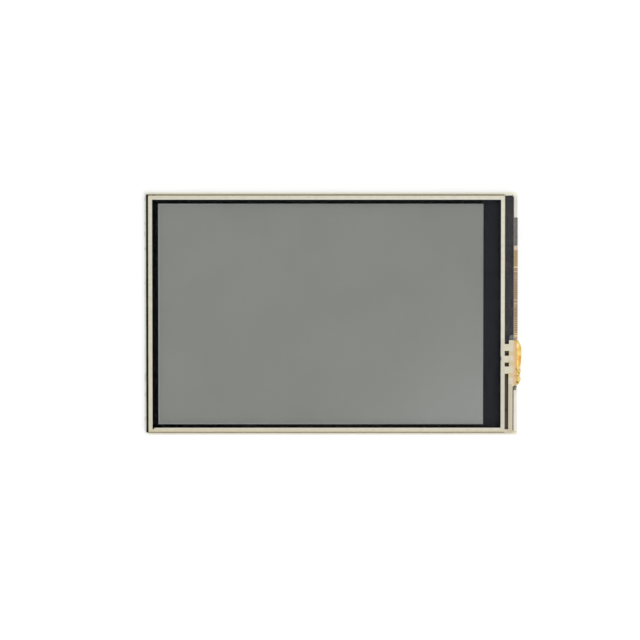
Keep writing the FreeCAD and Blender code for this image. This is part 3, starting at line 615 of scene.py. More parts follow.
def weave(made, pitch, shade, microns):
    """Threads over and under each other along X and Y."""
    tree = made.tree
    x, y, z = tree.here()
    waves = []
    for axis in (x, tree.plus(y, z)):
        waves.append(tree.math("SINE", tree.times(axis, math.pi / pitch)))
    height = tree.times(*waves)
    made.tint(tree.remap(height, -0.2, -0.9), shade, 0.7)
    made.raise_up(height, microns)


def make_edge_tape_cloth(colours):
    """Grey conductive cloth with a fine plain weave."""
    pale = tuple(colours.edge_tape)
    made = Finish(
        "edge_cloth", darker(pale, 0.8), pale,
        blotch_mm=0.9, rough=(0.5, 0.7), grain_mm=0.04, grain_um=2.0, Metallic=0.15,
    )
    weave(made, 0.12 * MM, darker(pale, 0.6), 6.0)
    return made.done()


def make_board():
    """Woven glass and resin behind the contacts."""
    made = Finish(
        "stiffener_weave", srgb(150, 112, 58), srgb(178, 136, 76),
        blotch_mm=1.5, rough=(0.42, 0.55), grain_mm=0.06, grain_um=1.5,
    )
    weave(made, 0.3 * MM, srgb(128, 92, 46), 3.0)
    return made.done()


def shade_flex(made, low_shade):
    """How the flex changes down its fold: a painted highlight at its upper end, then a painted tan sheen,
    grey-brown, and pale again, with painted highlight lines across it.
    """
    tree = made.tree
    y = tree.here()[1]
    # painted sheen: tan towards the upper end
    made.tint(tree.fade(y, 10.3, 11.0), srgb(178, 150, 97), 0.8)
    made.tint(tree.fade(y, -0.6, -1.1), low_shade, 0.75)
    # painted highlight at the upper end
    made.tint(tree.fade(y, 14.2, 14.7), srgb(228, 208, 182), 0.85)
    made.tint(tree.fade(y, -5.2, -5.4), srgb(214, 190, 156), 0.75)
    # painted highlights: bright lines across the fold
    for middle, half, strength in FLEX_PAINTED_HIGHLIGHT_LINES:
        off = tree.math("ABSOLUTE", tree.minus(y, middle * MM))
        made.tint(tree.remap(off, half * MM, 0.0), srgb(238, 212, 166), strength)


def make_flex_film(colours):
    """Amber cover film, with the darker gaps between buried traces."""
    pale = tuple(colours.flex)
    made = Finish(
        "flex_cover", darker(pale, 0.84), pale,
        blotch_mm=2.4, rough=(0.32, 0.5), grain_mm=0.06, grain_um=1.2, Coat_Weight=0.15,
    )
    made.tint(made.tree.noise(0.4, 3.0), srgb(132, 104, 72), 0.35)
    shade_flex(made, srgb(128, 101, 66))
    return made.done()


def make_trace_copper(colours):
    """Copper under the cover film."""
    pale = tuple(colours.trace)
    made = Finish(
        "trace_under_film", darker(pale, 0.84), pale,
        blotch_mm=1.2, rough=(0.3, 0.46), grain_mm=0.05, grain_um=1.0, Metallic=0.1,
    )
    shade_flex(made, srgb(216, 188, 142))
    return made.done()


def make_tail_film(colours):
    """Yellow film, peach where it is bonded, with its four buried conductors, and with painted light: shade
    makes it amber at its far side, in an orange core and along its creases, and it has painted glints.
    """
    pale = tuple(colours.tail)
    made = Finish(
        "tail_film", darker(pale, 0.9), pale,
        blotch_mm=1.3, rough=(0.26, 0.4), grain_mm=0.05, grain_um=1.0, Coat_Weight=0.12,
    )
    tree = made.tree
    x, y, z = tree.here()
    high = tree.fade(z, 2.2, 2.8)

    def tint_high(mask, shade, strength):
        made.tint(tree.times(mask, high), srgb(*shade), strength)

    track = tree.group("Stripes", Place=y, Start=-15.55 * MM, Pitch=2.2 * MM, Share=0.5)["Mask"]
    made.tint(track, srgb(226, 160, 62), 0.3)
    # painted shade: amber at the far side, where the fold turns away
    made.tint(tree.fade(x, 42.6, 43.2), srgb(234, 180, 36), 0.75)
    uneven = tree.remap(tree.noise(0.55, 3.0), 0.3, 0.7, -0.2, 0.2, smooth=False)
    # painted shade: an orange core on the curve of the fold
    core = tree.plus(tree.outside(TAIL_PAINTED_SHADE_CORE), uneven)
    tint_high(tree.remap(core, 0.35, -0.25), (236, 158, 34), 0.85)
    wander = tree.times(tree.minus(tree.noise(1.3, 2.0), 0.5), 0.7 * MM)
    tint_high(tree.fade(tree.plus(x, wander), 42.4, 42.1), (208, 160, 96), 0.9)
    for area in TAIL_GLINTS:
        glint = tree.plus(tree.outside(area), uneven)
        tint_high(tree.remap(glint, 0.3, -0.12), (255, 240, 176), 0.7)
    bonded = tree.times(tree.fade(x, 42.1, 41.55), high)
    made.tint(bonded, tuple(colours.tail_base), 0.92)
    # painted shade along the creases, and one paler line
    for start, end, width, shade, strength in TAIL_PAINTED_CREASE_SHADE:
        tint_high(tree.line(start, end, width), shade, strength)
    return made.done()


def make_prism_film():
    """Light film with its fine parallel ridges."""
    made = Finish(
        "prism_film", srgb(222, 226, 228), srgb(240, 242, 243),
        blotch_mm=12.0, rough=(0.2, 0.32), grain_mm=0.05, grain_um=0.5,
    )
    tree = made.tree
    made.raise_up(tree.math("SINE", tree.times(tree.here()[1], 60000.0)), 12.0)
    return made.done()


def make_guide():
    """Clear acrylic with its printed dots."""
    made = Finish(
        "guide_clear", srgb(236, 240, 240), srgb(248, 250, 250),
        blotch_mm=15.0, rough=(0.04, 0.1), grain_mm=0.2, grain_um=0.2, Transmission_Weight=0.9, IOR=1.49,
    )
    made.raise_up(made.tree.group("Specks", Scale=3000.0, Radius=0.35, Share=0.9)["Mask"], 6.0)
    return made.done()


def make_lamp_body():
    """White lamp housing with the yellow window that faces the light guide."""
    made = Finish(
        "lamp_housing", srgb(232, 232, 228), srgb(246, 246, 243),
        blotch_mm=0.8, rough=(0.4, 0.5), grain_mm=0.05, grain_um=1.0,
    )
    tree = made.tree
    deep = tree.fade(tree.here()[0], 37.6, 37.64)
    window = tree.times(tree.remap(tree.facing()[0], -0.5, -0.9), deep)
    made.tint(window, srgb(236, 214, 92), 0.95)
    return made.done()


def make_gold(colours):
    """Gold plating, scratched along the contacts."""
    pale = tuple(colours.gold)
    made = Finish(
        "contact_plating", darker(pale, 0.84), pale,
        blotch_mm=0.9, rough=(0.18, 0.34), grain_mm=0.04, grain_um=0.8, Metallic=1.0,
    )
    scratch = made.tree.noise(0.03, 2.0, stretch=(0.05, 1.0, 1.0))
    made.tint(made.tree.remap(scratch, 0.52, 0.68), darker(pale, 0.62), 0.6)
    made.raise_up(scratch, 1.2)
    return made.done()


def make_chip():
    """Dark silicon with a faint row of circuit blocks."""
    made = Finish(
        "chip_dark", srgb(38, 40, 46), srgb(54, 57, 66),
        blotch_mm=3.0, rough=(0.12, 0.22), grain_mm=0.2, grain_um=0.2, Metallic=0.5,
    )
    y = made.tree.here()[1]
    blocks = made.tree.group("Stripes", Place=y, Start=0.0, Pitch=2.1 * MM, Share=0.7)["Mask"]
    made.tint(blocks, srgb(66, 64, 82), 0.5)
    return made.done()


def make_plain(name, dark, pale, **values):
    return Finish(name, srgb(*dark), srgb(*pale), **values).done()


def make_clear(name, dark, pale, flat, upright, gloss=0.0, **values):
    return Finish(name, srgb(*dark), srgb(*pale), **values).clear(flat, upright, gloss)


def make_unmarked_finishes():
    """The finishes that carry no marks, plain ones and clear ones, by the name that the pieces ask for."""
    return {
        "solder": make_plain(
            "solder_bright", (168, 168, 166), (208, 208, 205),
            blotch_mm=0.3, rough=(0.2, 0.42), grain_mm=0.05, grain_um=3.0, Metallic=1.0,
        ),
        # the pad in the recess, whose grey also stands in for the shade there
        "foam": make_plain(
            "foam_grey", (134, 128, 103), (172, 164, 138),
            blotch_mm=0.35, rough=(0.75, 0.9), grain_mm=0.05, grain_um=12.0, Specular_IOR_Level=0.2,
        ),
        "reflector": make_plain(
            "reflector_silver", (222, 225, 228), (238, 240, 242),
            blotch_mm=10.0, rough=(0.2, 0.34), grain_mm=0.1, grain_um=0.8, Metallic=0.35,
        ),
        "diffuser": make_plain(
            "diffuser_frosted", (232, 233, 232), (244, 245, 244),
            blotch_mm=9.0, rough=(0.62, 0.75), grain_mm=0.03, grain_um=3.0,
        ),
        "white_tape": make_plain(
            "tape_paper", (222, 220, 210), (238, 236, 228),
            blotch_mm=1.2, rough=(0.6, 0.78), grain_mm=0.05, grain_um=4.0,
        ),
        "ceramic": make_plain(
            "capacitor_body", (128, 96, 66), (158, 122, 88),
            blotch_mm=0.25, rough=(0.45, 0.6), grain_mm=0.03, grain_um=2.0,
        ),
        "film": make_clear(
            "film_clear", (214, 214, 210), (232, 232, 228), flat=0.0008, upright=0.5, gloss=0.85,
            blotch_mm=8.0, rough=(0.4, 0.5), grain_mm=0.2, grain_um=0.2, Specular_IOR_Level=0.1,
        ),
        "pane": make_clear(
            "pane_clear", (178, 196, 186), (196, 212, 203), flat=0.0005, upright=0.66,
            blotch_mm=7.0, rough=(0.3, 0.4), grain_mm=0.2, grain_um=0.4, Specular_IOR_Level=0.2,
        ),
        "cell_glass": make_clear(
            "cell_clear", (170, 186, 180), (190, 204, 198), flat=0.0005, upright=0.75,
            blotch_mm=7.0, rough=(0.3, 0.4), grain_mm=0.2, grain_um=0.4, Specular_IOR_Level=0.2,
        ),
        "glue": make_clear(
            "glue_clear", (150, 150, 148), (176, 176, 172), flat=0.22, upright=0.4,
            blotch_mm=0.5, rough=(0.3, 0.5), grain_mm=0.08, grain_um=3.0,
        ),
        "gasket": make_clear(
            "gasket_clear", (150, 146, 136), (170, 166, 158), flat=0.01, upright=0.3,
            blotch_mm=0.8, rough=(0.4, 0.5), grain_mm=0.2, grain_um=1.0, Specular_IOR_Level=0.1,
        ),
        "polarizer": make_clear(
            "polarizer_tint", (9, 10, 10), (12, 13, 12), flat=0.17, upright=0.6,
            blotch_mm=20.0, rough=(0.6, 0.7), grain_mm=0.2, grain_um=0.3, Specular_IOR_Level=0.02,
        ),
    }


def make_materials(colours):
    """Every finish, by the name that the pieces ask for."""
    make_groups()
    return {
        "frame": make_frame_plastic(colours),
        "steel": make_steel(colours),
        "cream": make_cream(colours),
        "window": make_window(colours),
        "mask": make_mask(colours),
        "dark_tape": make_dark_tape(),
        "band_tape": make_band_tape(colours),
        "edge_tape": make_edge_tape_cloth(colours),
        "flex": make_flex_film(colours),
        "trace": make_trace_copper(colours),
        "tail": make_tail_film(colours),
        "prism": make_prism_film(),
        "guide": make_guide(),
        "lamp": make_lamp_body(),
        "board": make_board(),
        "gold": make_gold(colours),
        "chip": make_chip(),
        **make_unmarked_finishes(),
    }


# Shapes

# an edge is rounded off from this angle, in degrees
ROUNDED_FROM = 30.0
# an edge looks sharp from these: on pieces of flat faces, on small rounded ones, on folded or soft ones
FLAT_SMOOTHING = 15.0
SMALL_SMOOTHING = 40.0
FOLDED_SMOOTHING = 60.0


def node_copy(node):
    """A node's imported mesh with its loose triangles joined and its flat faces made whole."""
    mesh = bmesh.new()
    mesh.from_mesh(frame["nodes"][node].data)
    bmesh.ops.remove_doubles(mesh, verts=mesh.verts, dist=1e-7)
    bmesh.ops.dissolve_limit(
        mesh, angle_limit=math.radians(1.0), use_dissolve_boundaries=False, verts=mesh.verts, edges=mesh.edges
    )
    return mesh


def shrink(mesh, gap):
    """Moves every face in by the gap."""
    mesh.normal_update()
    moves = [(v, v.normal * v.calc_shell_factor() * gap) for v in mesh.verts]
    for v, move in moves:
        v.co -= move


def round_edges(mesh, radius):
    sharp = [e for e in mesh.edges if e.is_manifold and e.calc_face_angle() > math.radians(ROUNDED_FROM)]
    bmesh.ops.bevel(
        mesh, geom=sharp, offset=radius, offset_type="OFFSET", affect="EDGES", segments=2,
        profile=0.5, material=-1, clamp_overlap=True,
    )


def add_piece(mesh, name, materials, replaced=(), smoothing=SMALL_SMOOTHING):
    """Makes the mesh an object that rides on the body, and hides the nodes that it stands for."""
    data = bpy.data.meshes.new(name)
    mesh.to_mesh(data)
    mesh.free()
    for material in materials:
        data.materials.append(material)
    data.shade_smooth()
    data.set_sharp_from_angle(angle=math.radians(smoothing))
    piece = bpy.data.objects.new(name, data)
    bpy.context.scene.collection.objects.link(piece)
    if replaced:
        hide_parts(*replaced)
    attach(piece, BODY)


def cuboid(mesh, low, high):
    """Adds a block between two corners, in millimetres."""
    low, high = Vector(low) * MM, Vector(high) * MM
    place = Matrix.Translation((low + high) / 2) @ Matrix.Diagonal((*(high - low), 1.0))
    bmesh.ops.create_cube(mesh, size=1.0, matrix=place)


# Sizes of the folded and the small pieces, in millimetres unless they are shares or counts

# a folded strip's runs, and the share of its length at which each ends
UPPER_RUN, UPPER_ARC, SIDE_RUN, LOWER_ARC, LOWER_RUN = range(5)
FOLD_SHARES = (0.2, 0.44, 0.52, 0.8, 1.0)
# share of the tail's width from its top edge, and of its full swell
TAIL_SWELL = (
    (0.0, 0.5), (0.04, 0.69), (0.08, 0.81), (0.17, 0.97), (0.3, 1.0), (0.42, 1.0), (0.52, 0.91),
    (0.61, 0.86), (0.7, 0.89), (0.8, 0.82), (0.88, 0.89), (0.96, 0.72), (1.0, 0.5),
)
TAIL_UPPER_ROUND_MM = 0.95
TAIL_TOP_MORE_MM = 0.1
TAIL_BOND_MM = 40.48
TAIL_BEND_MM = 41.55
TAIL_THICK_MM = 0.08
TAIL_SIDE_FLAT_MM = 0.12
# shares of the tail's length: what the bond holds flat at its upper end, and the crumples after that
TAIL_HELD = 0.1
TAIL_FREE = 0.72
# start, end, depth and width of each crease in the touch tail, seen from above
TAIL_CREASES = (
    ((41.9, -12.3), (42.9, -13.8), 0.2, 0.22),
    ((41.6, -14.05), (43.1, -14.05), 0.18, 0.2),
    ((41.8, -15.5), (42.6, -15.75), 0.22, 0.2),
    ((42.2, -7.4), (43.2, -8.9), 0.06, 0.3),
    ((42.2, -10.0), (43.3, -10.4), 0.05, 0.35),
)
TRACE_COUNT = 40
TRACE_PITCH_MM = 0.5
TRACE_FIRST_MM = 0.15
TRACE_START_MM = 40.4
TRACE_SHORT_MM = 0.3
TRACE_SUNK_MM = 0.004
TRACE_STEPS = 40
# the first two traces of every so many carry the supply
SUPPLY_EVERY = 13
FLEX_SIDE_FLAT_MM = 0.17
CAP_BODY_INSET_MM = 0.012
CAP_BODY_DEEP_MM = 0.018
CAP_ROUND_MM = 0.025
JOINT_COUNT = 4
JOINT_PITCH_MM = 2.2
JOINT_WIDE_MM = 1.2
JOINT_REACH_MM = 0.44
JOINT_INSET_MM = 0.06
TAPE_MORE_MM = 0.27
RECESS_PLAY_MM = 0.05
RECESS_END_MM = -17.4
FOAM_OUT_MM = 1.1
FOAM_LONG_MM = 0.95
FOAM_SAG_MM = 0.3
FOAM_LEAN_MM = 0.1
FOAM_ROUND_MM = 0.05


def through(pairs, at):
    """The height of a smooth curve through the pairs."""
    last = len(pairs) - 1
    i = max(k for k in range(last) if pairs[k][0] <= at or k == 0)
    (x1, y1), (x2, y2) = pairs[i], pairs[i + 1]
    x0, y0 = pairs[max(i - 1, 0)]
    x3, y3 = pairs[min(i + 2, last)]
    wide = x2 - x1
    t = (at - x1) / wide
    slope_1 = (y2 - y0) / (x2 - x0) * wide
    slope_2 = (y3 - y1) / (x3 - x1) * wide
    return (
        (2 * t**3 - 3 * t**2 + 1) * y1 + (t**3 - 2 * t**2 + t) * slope_1
        + (3 * t**2 - 2 * t**3) * y2 + (t**3 - t**2) * slope_2
    )


def hairpin(along, ends, reach, levels, radii):
    """A point on the outer face of a folded strip, and the way that face looks, as (x, z) pairs.

    along goes from 0 at the upper end to 1 at the lower one. ends are the x of the two ends, levels the z
    of the two runs and radii those of the two arcs, each with the upper one first.
    """
    (top_end, low_end), (high, low), (upper, lower) = ends, levels, radii
    start = 0.0
    for run, end in enumerate(FOLD_SHARES):
        if along <= end or run == LOWER_RUN:
            break
        start = end
    t = min(max((along - start) / (end - start), 0.0), 1.0)
    if run == UPPER_RUN:
        return (top_end + (reach - upper - top_end) * t, high), (0.0, 1.0)
    if run == LOWER_RUN:
        return (reach - lower + (low_end - reach + lower) * t, low), (0.0, -1.0)
    if run == SIDE_RUN:
        return (reach, high - upper + (low - high + upper + lower) * t), (1.0, 0.0)
    angle = math.pi / 2 * (t if run == UPPER_ARC else 1 + t)
    radius, middle = (lower, low + lower) if run == LOWER_ARC else (upper, high - upper)
    way = (math.sin(angle), math.cos(angle))
    return (reach - radius + radius * way[0], middle + radius * way[1]), way


def off_line(x, y, start, end):
    """How far a place lies from a straight line between two others."""
    place, start, run = Vector((x, y)), Vector(start), Vector(end) - Vector(start)
    near = start + run * min(max((place - start).dot(run) / run.length_squared, 0), 1)
    return (place - near).length


def bell(distance, width):
    return math.exp(-((distance / width) ** 2))


def make_tail(made, sizes):
    """The touch tail: a flat sheet, folded round, creased, and given its thickness."""
    low, high = (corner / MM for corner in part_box("touch_tail"))
    top = high.y + TAIL_TOP_MORE_MM
    full = (high.z - low.z - TAIL_SIDE_FLAT_MM) / 2
    crumple = sizes.tail_crumple / MM
    mesh = bmesh.new()
    bmesh.ops.create_grid(mesh, x_segments=sizes.tail_columns, y_segments=sizes.tail_rows, size=0.5)
    for v in mesh.verts:
        along, across = v.co.x + 0.5, 0.5 - v.co.y
        radius = min(through(TAIL_SWELL, across), 1.0) * full
        y = top - across * (top - low.y)
        (x, z), way = hairpin(
            along, (TAIL_BOND_MM, low.x), TAIL_BEND_MM + radius, (high.z, low.z),
            (min(radius, TAIL_UPPER_ROUND_MM), radius),
        )
        free = math.sin(min(max((along - TAIL_HELD) / TAIL_FREE, 0.0), 1.0) * math.pi)
        # two waves that run aslant to each other, so that the crumples don't repeat
        wave = math.sin(y * 1.9 + along * 5.0) * math.sin(y * 0.83 - along * 9.0 + 1.0)
        deep = crumple * (0.5 + 0.5 * wave)
        if z > (low.z + high.z) / 2:
            for start, end, depth, width in TAIL_CREASES:
                deep += depth * bell(off_line(x, y, start, end), width)
        deep *= free
        v.co = Vector((x - way[0] * deep, y, z - way[1] * deep)) * MM
    bmesh.ops.solidify(mesh, geom=mesh.faces, thickness=TAIL_THICK_MM * MM)
    bmesh.ops.recalc_face_normals(mesh, faces=mesh.faces)
    add_piece(mesh, "touch_tail_sheet", [made["tail"]], ["touch_tail"], FOLDED_SMOOTHING)


def make_traces(made, sizes):
    """Copper traces of the main flex, from the contacts round the fold to the display."""
    low, high = (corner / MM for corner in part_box("main_flex"))
    contacts = [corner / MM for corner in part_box("flex_contacts")]
    radius = (high.z - low.z - FLEX_SIDE_FLAT_MM) / 2
    ends = (TRACE_START_MM, contacts[1].x - TRACE_SHORT_MM)
    mesh = bmesh.new()
    for i in range(TRACE_COUNT):
        wide = sizes.trace_power if i % SUPPLY_EVERY in (0, 1) else sizes.trace_wide
        y = contacts[0].y + TRACE_FIRST_MM + i * TRACE_PITCH_MM
        verts = []
        for k in range(TRACE_STEPS + 1):
            (x, z), way = hairpin(k / TRACE_STEPS, ends, high.x, (high.z, low.z), (radius, radius))
            spot = Vector((x - way[0] * TRACE_SUNK_MM, y - wide / MM / 2, z - way[1] * TRACE_SUNK_MM)) * MM
            verts.append(mesh.verts.new(spot))
        line = [mesh.edges.new(pair) for pair in zip(verts, verts[1:])]
        swept = bmesh.ops.extrude_edge_only(mesh, edges=line)["geom"]
        moved = [g for g in swept if isinstance(g, bmesh.types.BMVert)]
        bmesh.ops.translate(mesh, verts=moved, vec=(0.0, wide, 0.0))
    mesh.normal_update()
    # the faces have to look away from the flex before they get their thickness
    inner = Vector((high.x - radius, 0.0, (high.z + low.z) / 2)) * MM
    for face in mesh.faces:
        away = face.calc_center_median() - inner
        if face.normal.dot(Vector((max(away.x, 0.0), 0.0, away.z))) < 0:
            face.normal_flip()
    bmesh.ops.solidify(mesh, geom=mesh.faces, thickness=-(sizes.trace_tall + TRACE_SUNK_MM * MM))
    bmesh.ops.recalc_face_normals(mesh, faces=mesh.faces)
    add_piece(mesh, "flex_traces", [made["trace"]], (), FOLDED_SMOOTHING)


def make_capacitor(made, sizes, node):
    """A ceramic body between two tinned ends that wrap round it."""
    low, high = (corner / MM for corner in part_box(node))
    mesh = bmesh.new()
    cuboid(mesh, low, high)
    end = sizes.cap_end / MM
    for x in (low.x + end, high.x - end):
        bmesh.ops.bisect_plane(
            mesh, geom=[*mesh.verts, *mesh.edges, *mesh.faces], plane_co=(x * MM, 0, 0), plane_no=(1, 0, 0)
        )
    body = [f for f in mesh.faces if low.x + end < f.calc_center_median().x / MM < high.x - end]
    for face in mesh.faces:
        face.material_index = 0 if face in body else 1
    sunk = bmesh.ops.inset_region(
        mesh, faces=body, thickness=CAP_BODY_INSET_MM * MM, depth=-CAP_BODY_DEEP_MM * MM, use_even_offset=True
    )
    for face in sunk["faces"]:
        face.material_index = 1
    round_edges(mesh, CAP_ROUND_MM * MM)
    name = node.replace("capacitor", "chip_capacitor")
    add_piece(mesh, name, [made["ceramic"], made["solder"]], [node])


def make_solder_joints(made):
    """Four low mounds where the end of the touch tail meets its pads."""
    low, high = (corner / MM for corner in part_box("tail_solder"))
    half = Vector((JOINT_REACH_MM, JOINT_WIDE_MM / 2, high.z - low.z)) * MM
    mesh = bmesh.new()
    for i in range(JOINT_COUNT):
        y = low.y + JOINT_WIDE_MM / 2 + i * JOINT_PITCH_MM
        place = Matrix.Translation(Vector((high.x - JOINT_INSET_MM, y, high.z)) * MM)
        bmesh.ops.create_uvsphere(
            mesh, u_segments=28, v_segments=16, radius=1.0, matrix=place @ Matrix.Diagonal((*half, 1.0))
        )
    flat = bmesh.ops.bisect_plane(
        mesh, geom=[*mesh.verts, *mesh.edges, *mesh.faces], plane_co=(0, 0, high.z * MM), plane_no=(0, 0, 1),
        clear_outer=True,
    )
    rim = [g for g in flat["geom_cut"] if isinstance(g, bmesh.types.BMEdge)]
    bmesh.ops.holes_fill(mesh, edges=rim)
    bmesh.ops.recalc_face_normals(mesh, faces=mesh.faces)
    add_piece(mesh, "tail_joints", [made["solder"]], ["tail_solder"])


def make_edge_tape(made):
    """The grey tape, whose lower end reaches down to the main flex."""
    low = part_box("edge_tape")[0]
    more = TAPE_MORE_MM * MM
    mesh = node_copy("edge_tape")
    for v in mesh.verts:
        if v.co.y < low.y + more:
            v.co.y -= more
    add_piece(mesh, "edge_tape_strip", [made["edge_tape"]], ["edge_tape"], FLAT_SMOOTHING)


def make_foam(made):
    """The grey pad that fills the lower end of the recess, between the frame's wall and the display glass,
    and stands in for the shade there as well.
    """
    glass, shield, wall = (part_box(node) for node in ("tft_glass", "light_shield_tape", "backlight_frame"))
    low = Vector((glass[1].x / MM + RECESS_PLAY_MM, RECESS_END_MM, wall[0].z / MM))
    high = Vector((low.x + FOAM_OUT_MM, RECESS_END_MM + FOAM_LONG_MM, shield[0].z / MM))
    mesh = bmesh.new()
    cuboid(mesh, low, high)
    bmesh.ops.subdivide_edges(mesh, edges=mesh.edges, cuts=9, use_grid_fill=True)
    middle = (low + high) / 2
    for v in mesh.verts:
        spot = v.co / MM
        across = (spot.x - middle.x) / (high.x - low.x) * 2
        along = (spot.y - middle.y) / (high.y - low.y) * 2
        rise = (spot.z - low.z) / (high.z - low.z)
        spot.z -= rise * FOAM_SAG_MM * (max(across, 0.0) ** 2 + max(along, 0.0) ** 2)
        spot.x -= rise * FOAM_LEAN_MM * max(across, 0.0) * (1 - along)
        v.co = spot * MM
    round_edges(mesh, FOAM_ROUND_MM * MM)
    add_piece(mesh, "recess_foam", [made["foam"]], (), FOLDED_SMOOTHING)


# What each node gets: its own finish, or a finer copy that stands for it

KEPT_NODES = {
    "reflector": "reflector", "light_guide": "guide", "diffuser": "diffuser",
    "lower_prism_film": "prism", "upper_prism_film": "prism", "led_flex": "flex",
    "rim_tape": "dark_tape", "driver_chip": "chip", "black_mask": "mask", "pixel_layer": "window",
    "touch_tape": "dark_tape", "light_shield_tape": "band_tape", "flex_tape": "white_tape",
    "flex_contacts": "gold", "flex_stiffener": "board", "main_flex": "flex",
    **{f"led_{i}": "lamp" for i in range(1, 7)},
}
CLEAR_LAYERS = {
    "touch_film": ("film", "touch_film"),
    "touch_glass": ("pane", "touch_glass"),
    "touch_gasket": ("gasket", "adhesive_clear"),
    "touch_glue": ("glue", "adhesive_clear"),
    "front_polarizer": ("polarizer", "polarizer_grey"),
    "rear_polarizer": ("polarizer", "polarizer_grey"),
    "colour_filter_glass": ("cell_glass", "lcd_glass"),
    "tft_glass": ("cell_glass", "lcd_glass"),
}


def remember(made):
    """Keeps the finishes for the operators that come later."""
    for use, material in made.items():
        material["use"] = use


def finishes():
    return {material["use"]: material for material in bpy.data.materials if "use" in material}


# The stage

FLOOR_HALF = 1.5
FLOOR_GLOW = 0.62
SENSOR_MM = 36.0
# name, place and length of a side in metres, and share of the lamp power
LAMPS = (("soft_lamp", (0.4, -0.35, 1.1), 0.8, 1.0), ("fill_lamp", (-0.7, 0.5, 0.8), 0.7, 0.3))


class MODULE_OT_stage(bpy.types.Operator):
    """Make the floor, the surroundings, the lamps and the camera"""

    bl_idname = "display_module.stage"
    bl_label = "Stage"

    def execute(self, context):
        stage = context.scene.module_stage
        context.scene.view_settings.view_transform = "Standard"
        context.scene.cycles.transparent_max_bounces = 40
        context.scene.cycles.max_bounces = 12
        self.make_surroundings(stage)
        self.make_floor()
        self.make_lamps(stage)
        self.make_camera(stage)
        return {"FINISHED"}

    def make_surroundings(self, stage):
        world = bpy.data.worlds.new("surroundings")
        bpy.context.scene.world = world
        tree = empty_tree(world)
        level = tree.plus(tree.times(self.seen(tree), 1 - stage.sky_level), stage.sky_level)
        tree.add("OutputWorld", Surface=tree.add("Background", Color=(1.0, 1.0, 1.0), Strength=level))

    def seen(self, tree):
        """1 for the rays that look at the background: the camera's, a mirror's and those through glass."""
        path = tree.tree.nodes.new("ShaderNodeLightPath")
        names = ("Is Camera Ray", "Is Glossy Ray", "Is Transmission Ray")
        first, second, third = (path.outputs[name] for name in names)
        return tree.math("MAXIMUM", tree.math("MAXIMUM", first, second), third)

    def make_floor(self):
        mesh = bmesh.new()
        bmesh.ops.create_grid(mesh, x_segments=1, y_segments=1, size=FLOOR_HALF)
        data = bpy.data.meshes.new("floor")
        mesh.to_mesh(data)
        mesh.free()
        data.materials.append(self.make_paper())
        floor = bpy.data.objects.new("floor", data)
        bpy.context.scene.collection.objects.link(floor)

    def make_paper(self):
        """Matt paper, near white to the rays that look at it, and see-through from below."""
        material = bpy.data.materials.new("floor_paper")
        tree = empty_tree(material)
        paper = tree.blend(tree.noise(40.0), (0.8, 0.8, 0.795), (0.82, 0.82, 0.815))
        glow = tree.add("Emission", Color=(1.0, 1.0, 1.0), Strength=FLOOR_GLOW)
        lit = tree.make("AddShader", tree.add("BsdfDiffuse", Color=(0.5, 0.5, 0.5)), glow)
        above = tree.make("MixShader", self.seen(tree), tree.add("BsdfDiffuse", Color=paper), lit)
        below = tree.add("NewGeometry", out="Backfacing")
        whole = tree.make("MixShader", below, above, tree.add("BsdfTransparent"))
        tree.add("OutputMaterial", Surface=whole)
        return material

    def make_lamps(self, stage):
        for name, place, size, share in LAMPS:
            light = bpy.data.lights.new(name, "AREA")
            light.shape = "SQUARE"
            light.size = size
            light.energy = stage.lamp_power * share
            lamp = bpy.data.objects.new(name, light)
            bpy.context.scene.collection.objects.link(lamp)
            lamp.location = place
            lamp.rotation_euler = (-Vector(place)).to_track_quat("-Z", "Y").to_euler()
            lamp.visible_camera = False

    def make_camera(self, stage):
        data = bpy.data.cameras.new("camera")
        data.sensor_width = SENSOR_MM
        data.lens = stage.lens
        data.dof.use_dof = False
        camera = bpy.data.objects.new("camera", data)
        bpy.context.scene.collection.objects.link(camera)
        camera.rotation_euler = stage.tilt
        away = camera.rotation_euler.to_matrix() @ Vector((0.0, 0.0, 1.0))
        camera.location = Vector(stage.aim) + away * stage.distance
        bpy.context.scene.camera = camera


class MODULE_OT_finishes(bpy.types.Operator):
    """Make every material, and give the solids that keep their shape theirs"""

    bl_idname = "display_module.finishes"
    bl_label = "Finishes"

    def execute(self, context):
        made = make_materials(context.scene.module_colours)
        remember(made)
        for node, use in KEPT_NODES.items():
            data = frame["nodes"][node].data
            if not data.materials:
                data.materials.append(None)
            for i in range(len(data.materials)):
                data.materials[i] = made[use]
        return {"FINISHED"}


class MODULE_OT_shell(bpy.types.Operator):
    """Make the moulded frame and the stamped back plate with rounded edges"""

    bl_idname = "display_module.shell"
    bl_label = "Frame and Back Plate"

    def execute(self, context):
        made, sizes = finishes(), context.scene.module_sizes
        mesh = node_copy("backlight_frame")
        round_edges(mesh, sizes.frame_round)
        add_piece(mesh, "moulded_frame", [made["frame"]], ["backlight_frame"], FLAT_SMOOTHING)
        mesh = node_copy("back_plate")
        round_edges(mesh, sizes.plate_round)
        add_piece(mesh, "stamped_plate", [made["steel"]], ["back_plate"], FLAT_SMOOTHING)
        return {"FINISHED"}


class MODULE_OT_clear_layers(bpy.types.Operator):
    """Make the films, glass and clear adhesive, each with a hair of air round it"""

    bl_idname = "display_module.clear_layers"
    bl_label = "Clear Layers"

    def execute(self, context):
        made, sizes = finishes(), context.scene.module_sizes
        for node, (use, slot) in CLEAR_LAYERS.items():
            mesh = node_copy(node)
            shrink(mesh, sizes.layer_gap)
            if use in ("film", "pane"):
                round_edges(mesh, sizes.layer_round)
            add_piece(mesh, f"{node}_layer", [made[use]], [node], FLAT_SMOOTHING)
        return {"FINISHED"}


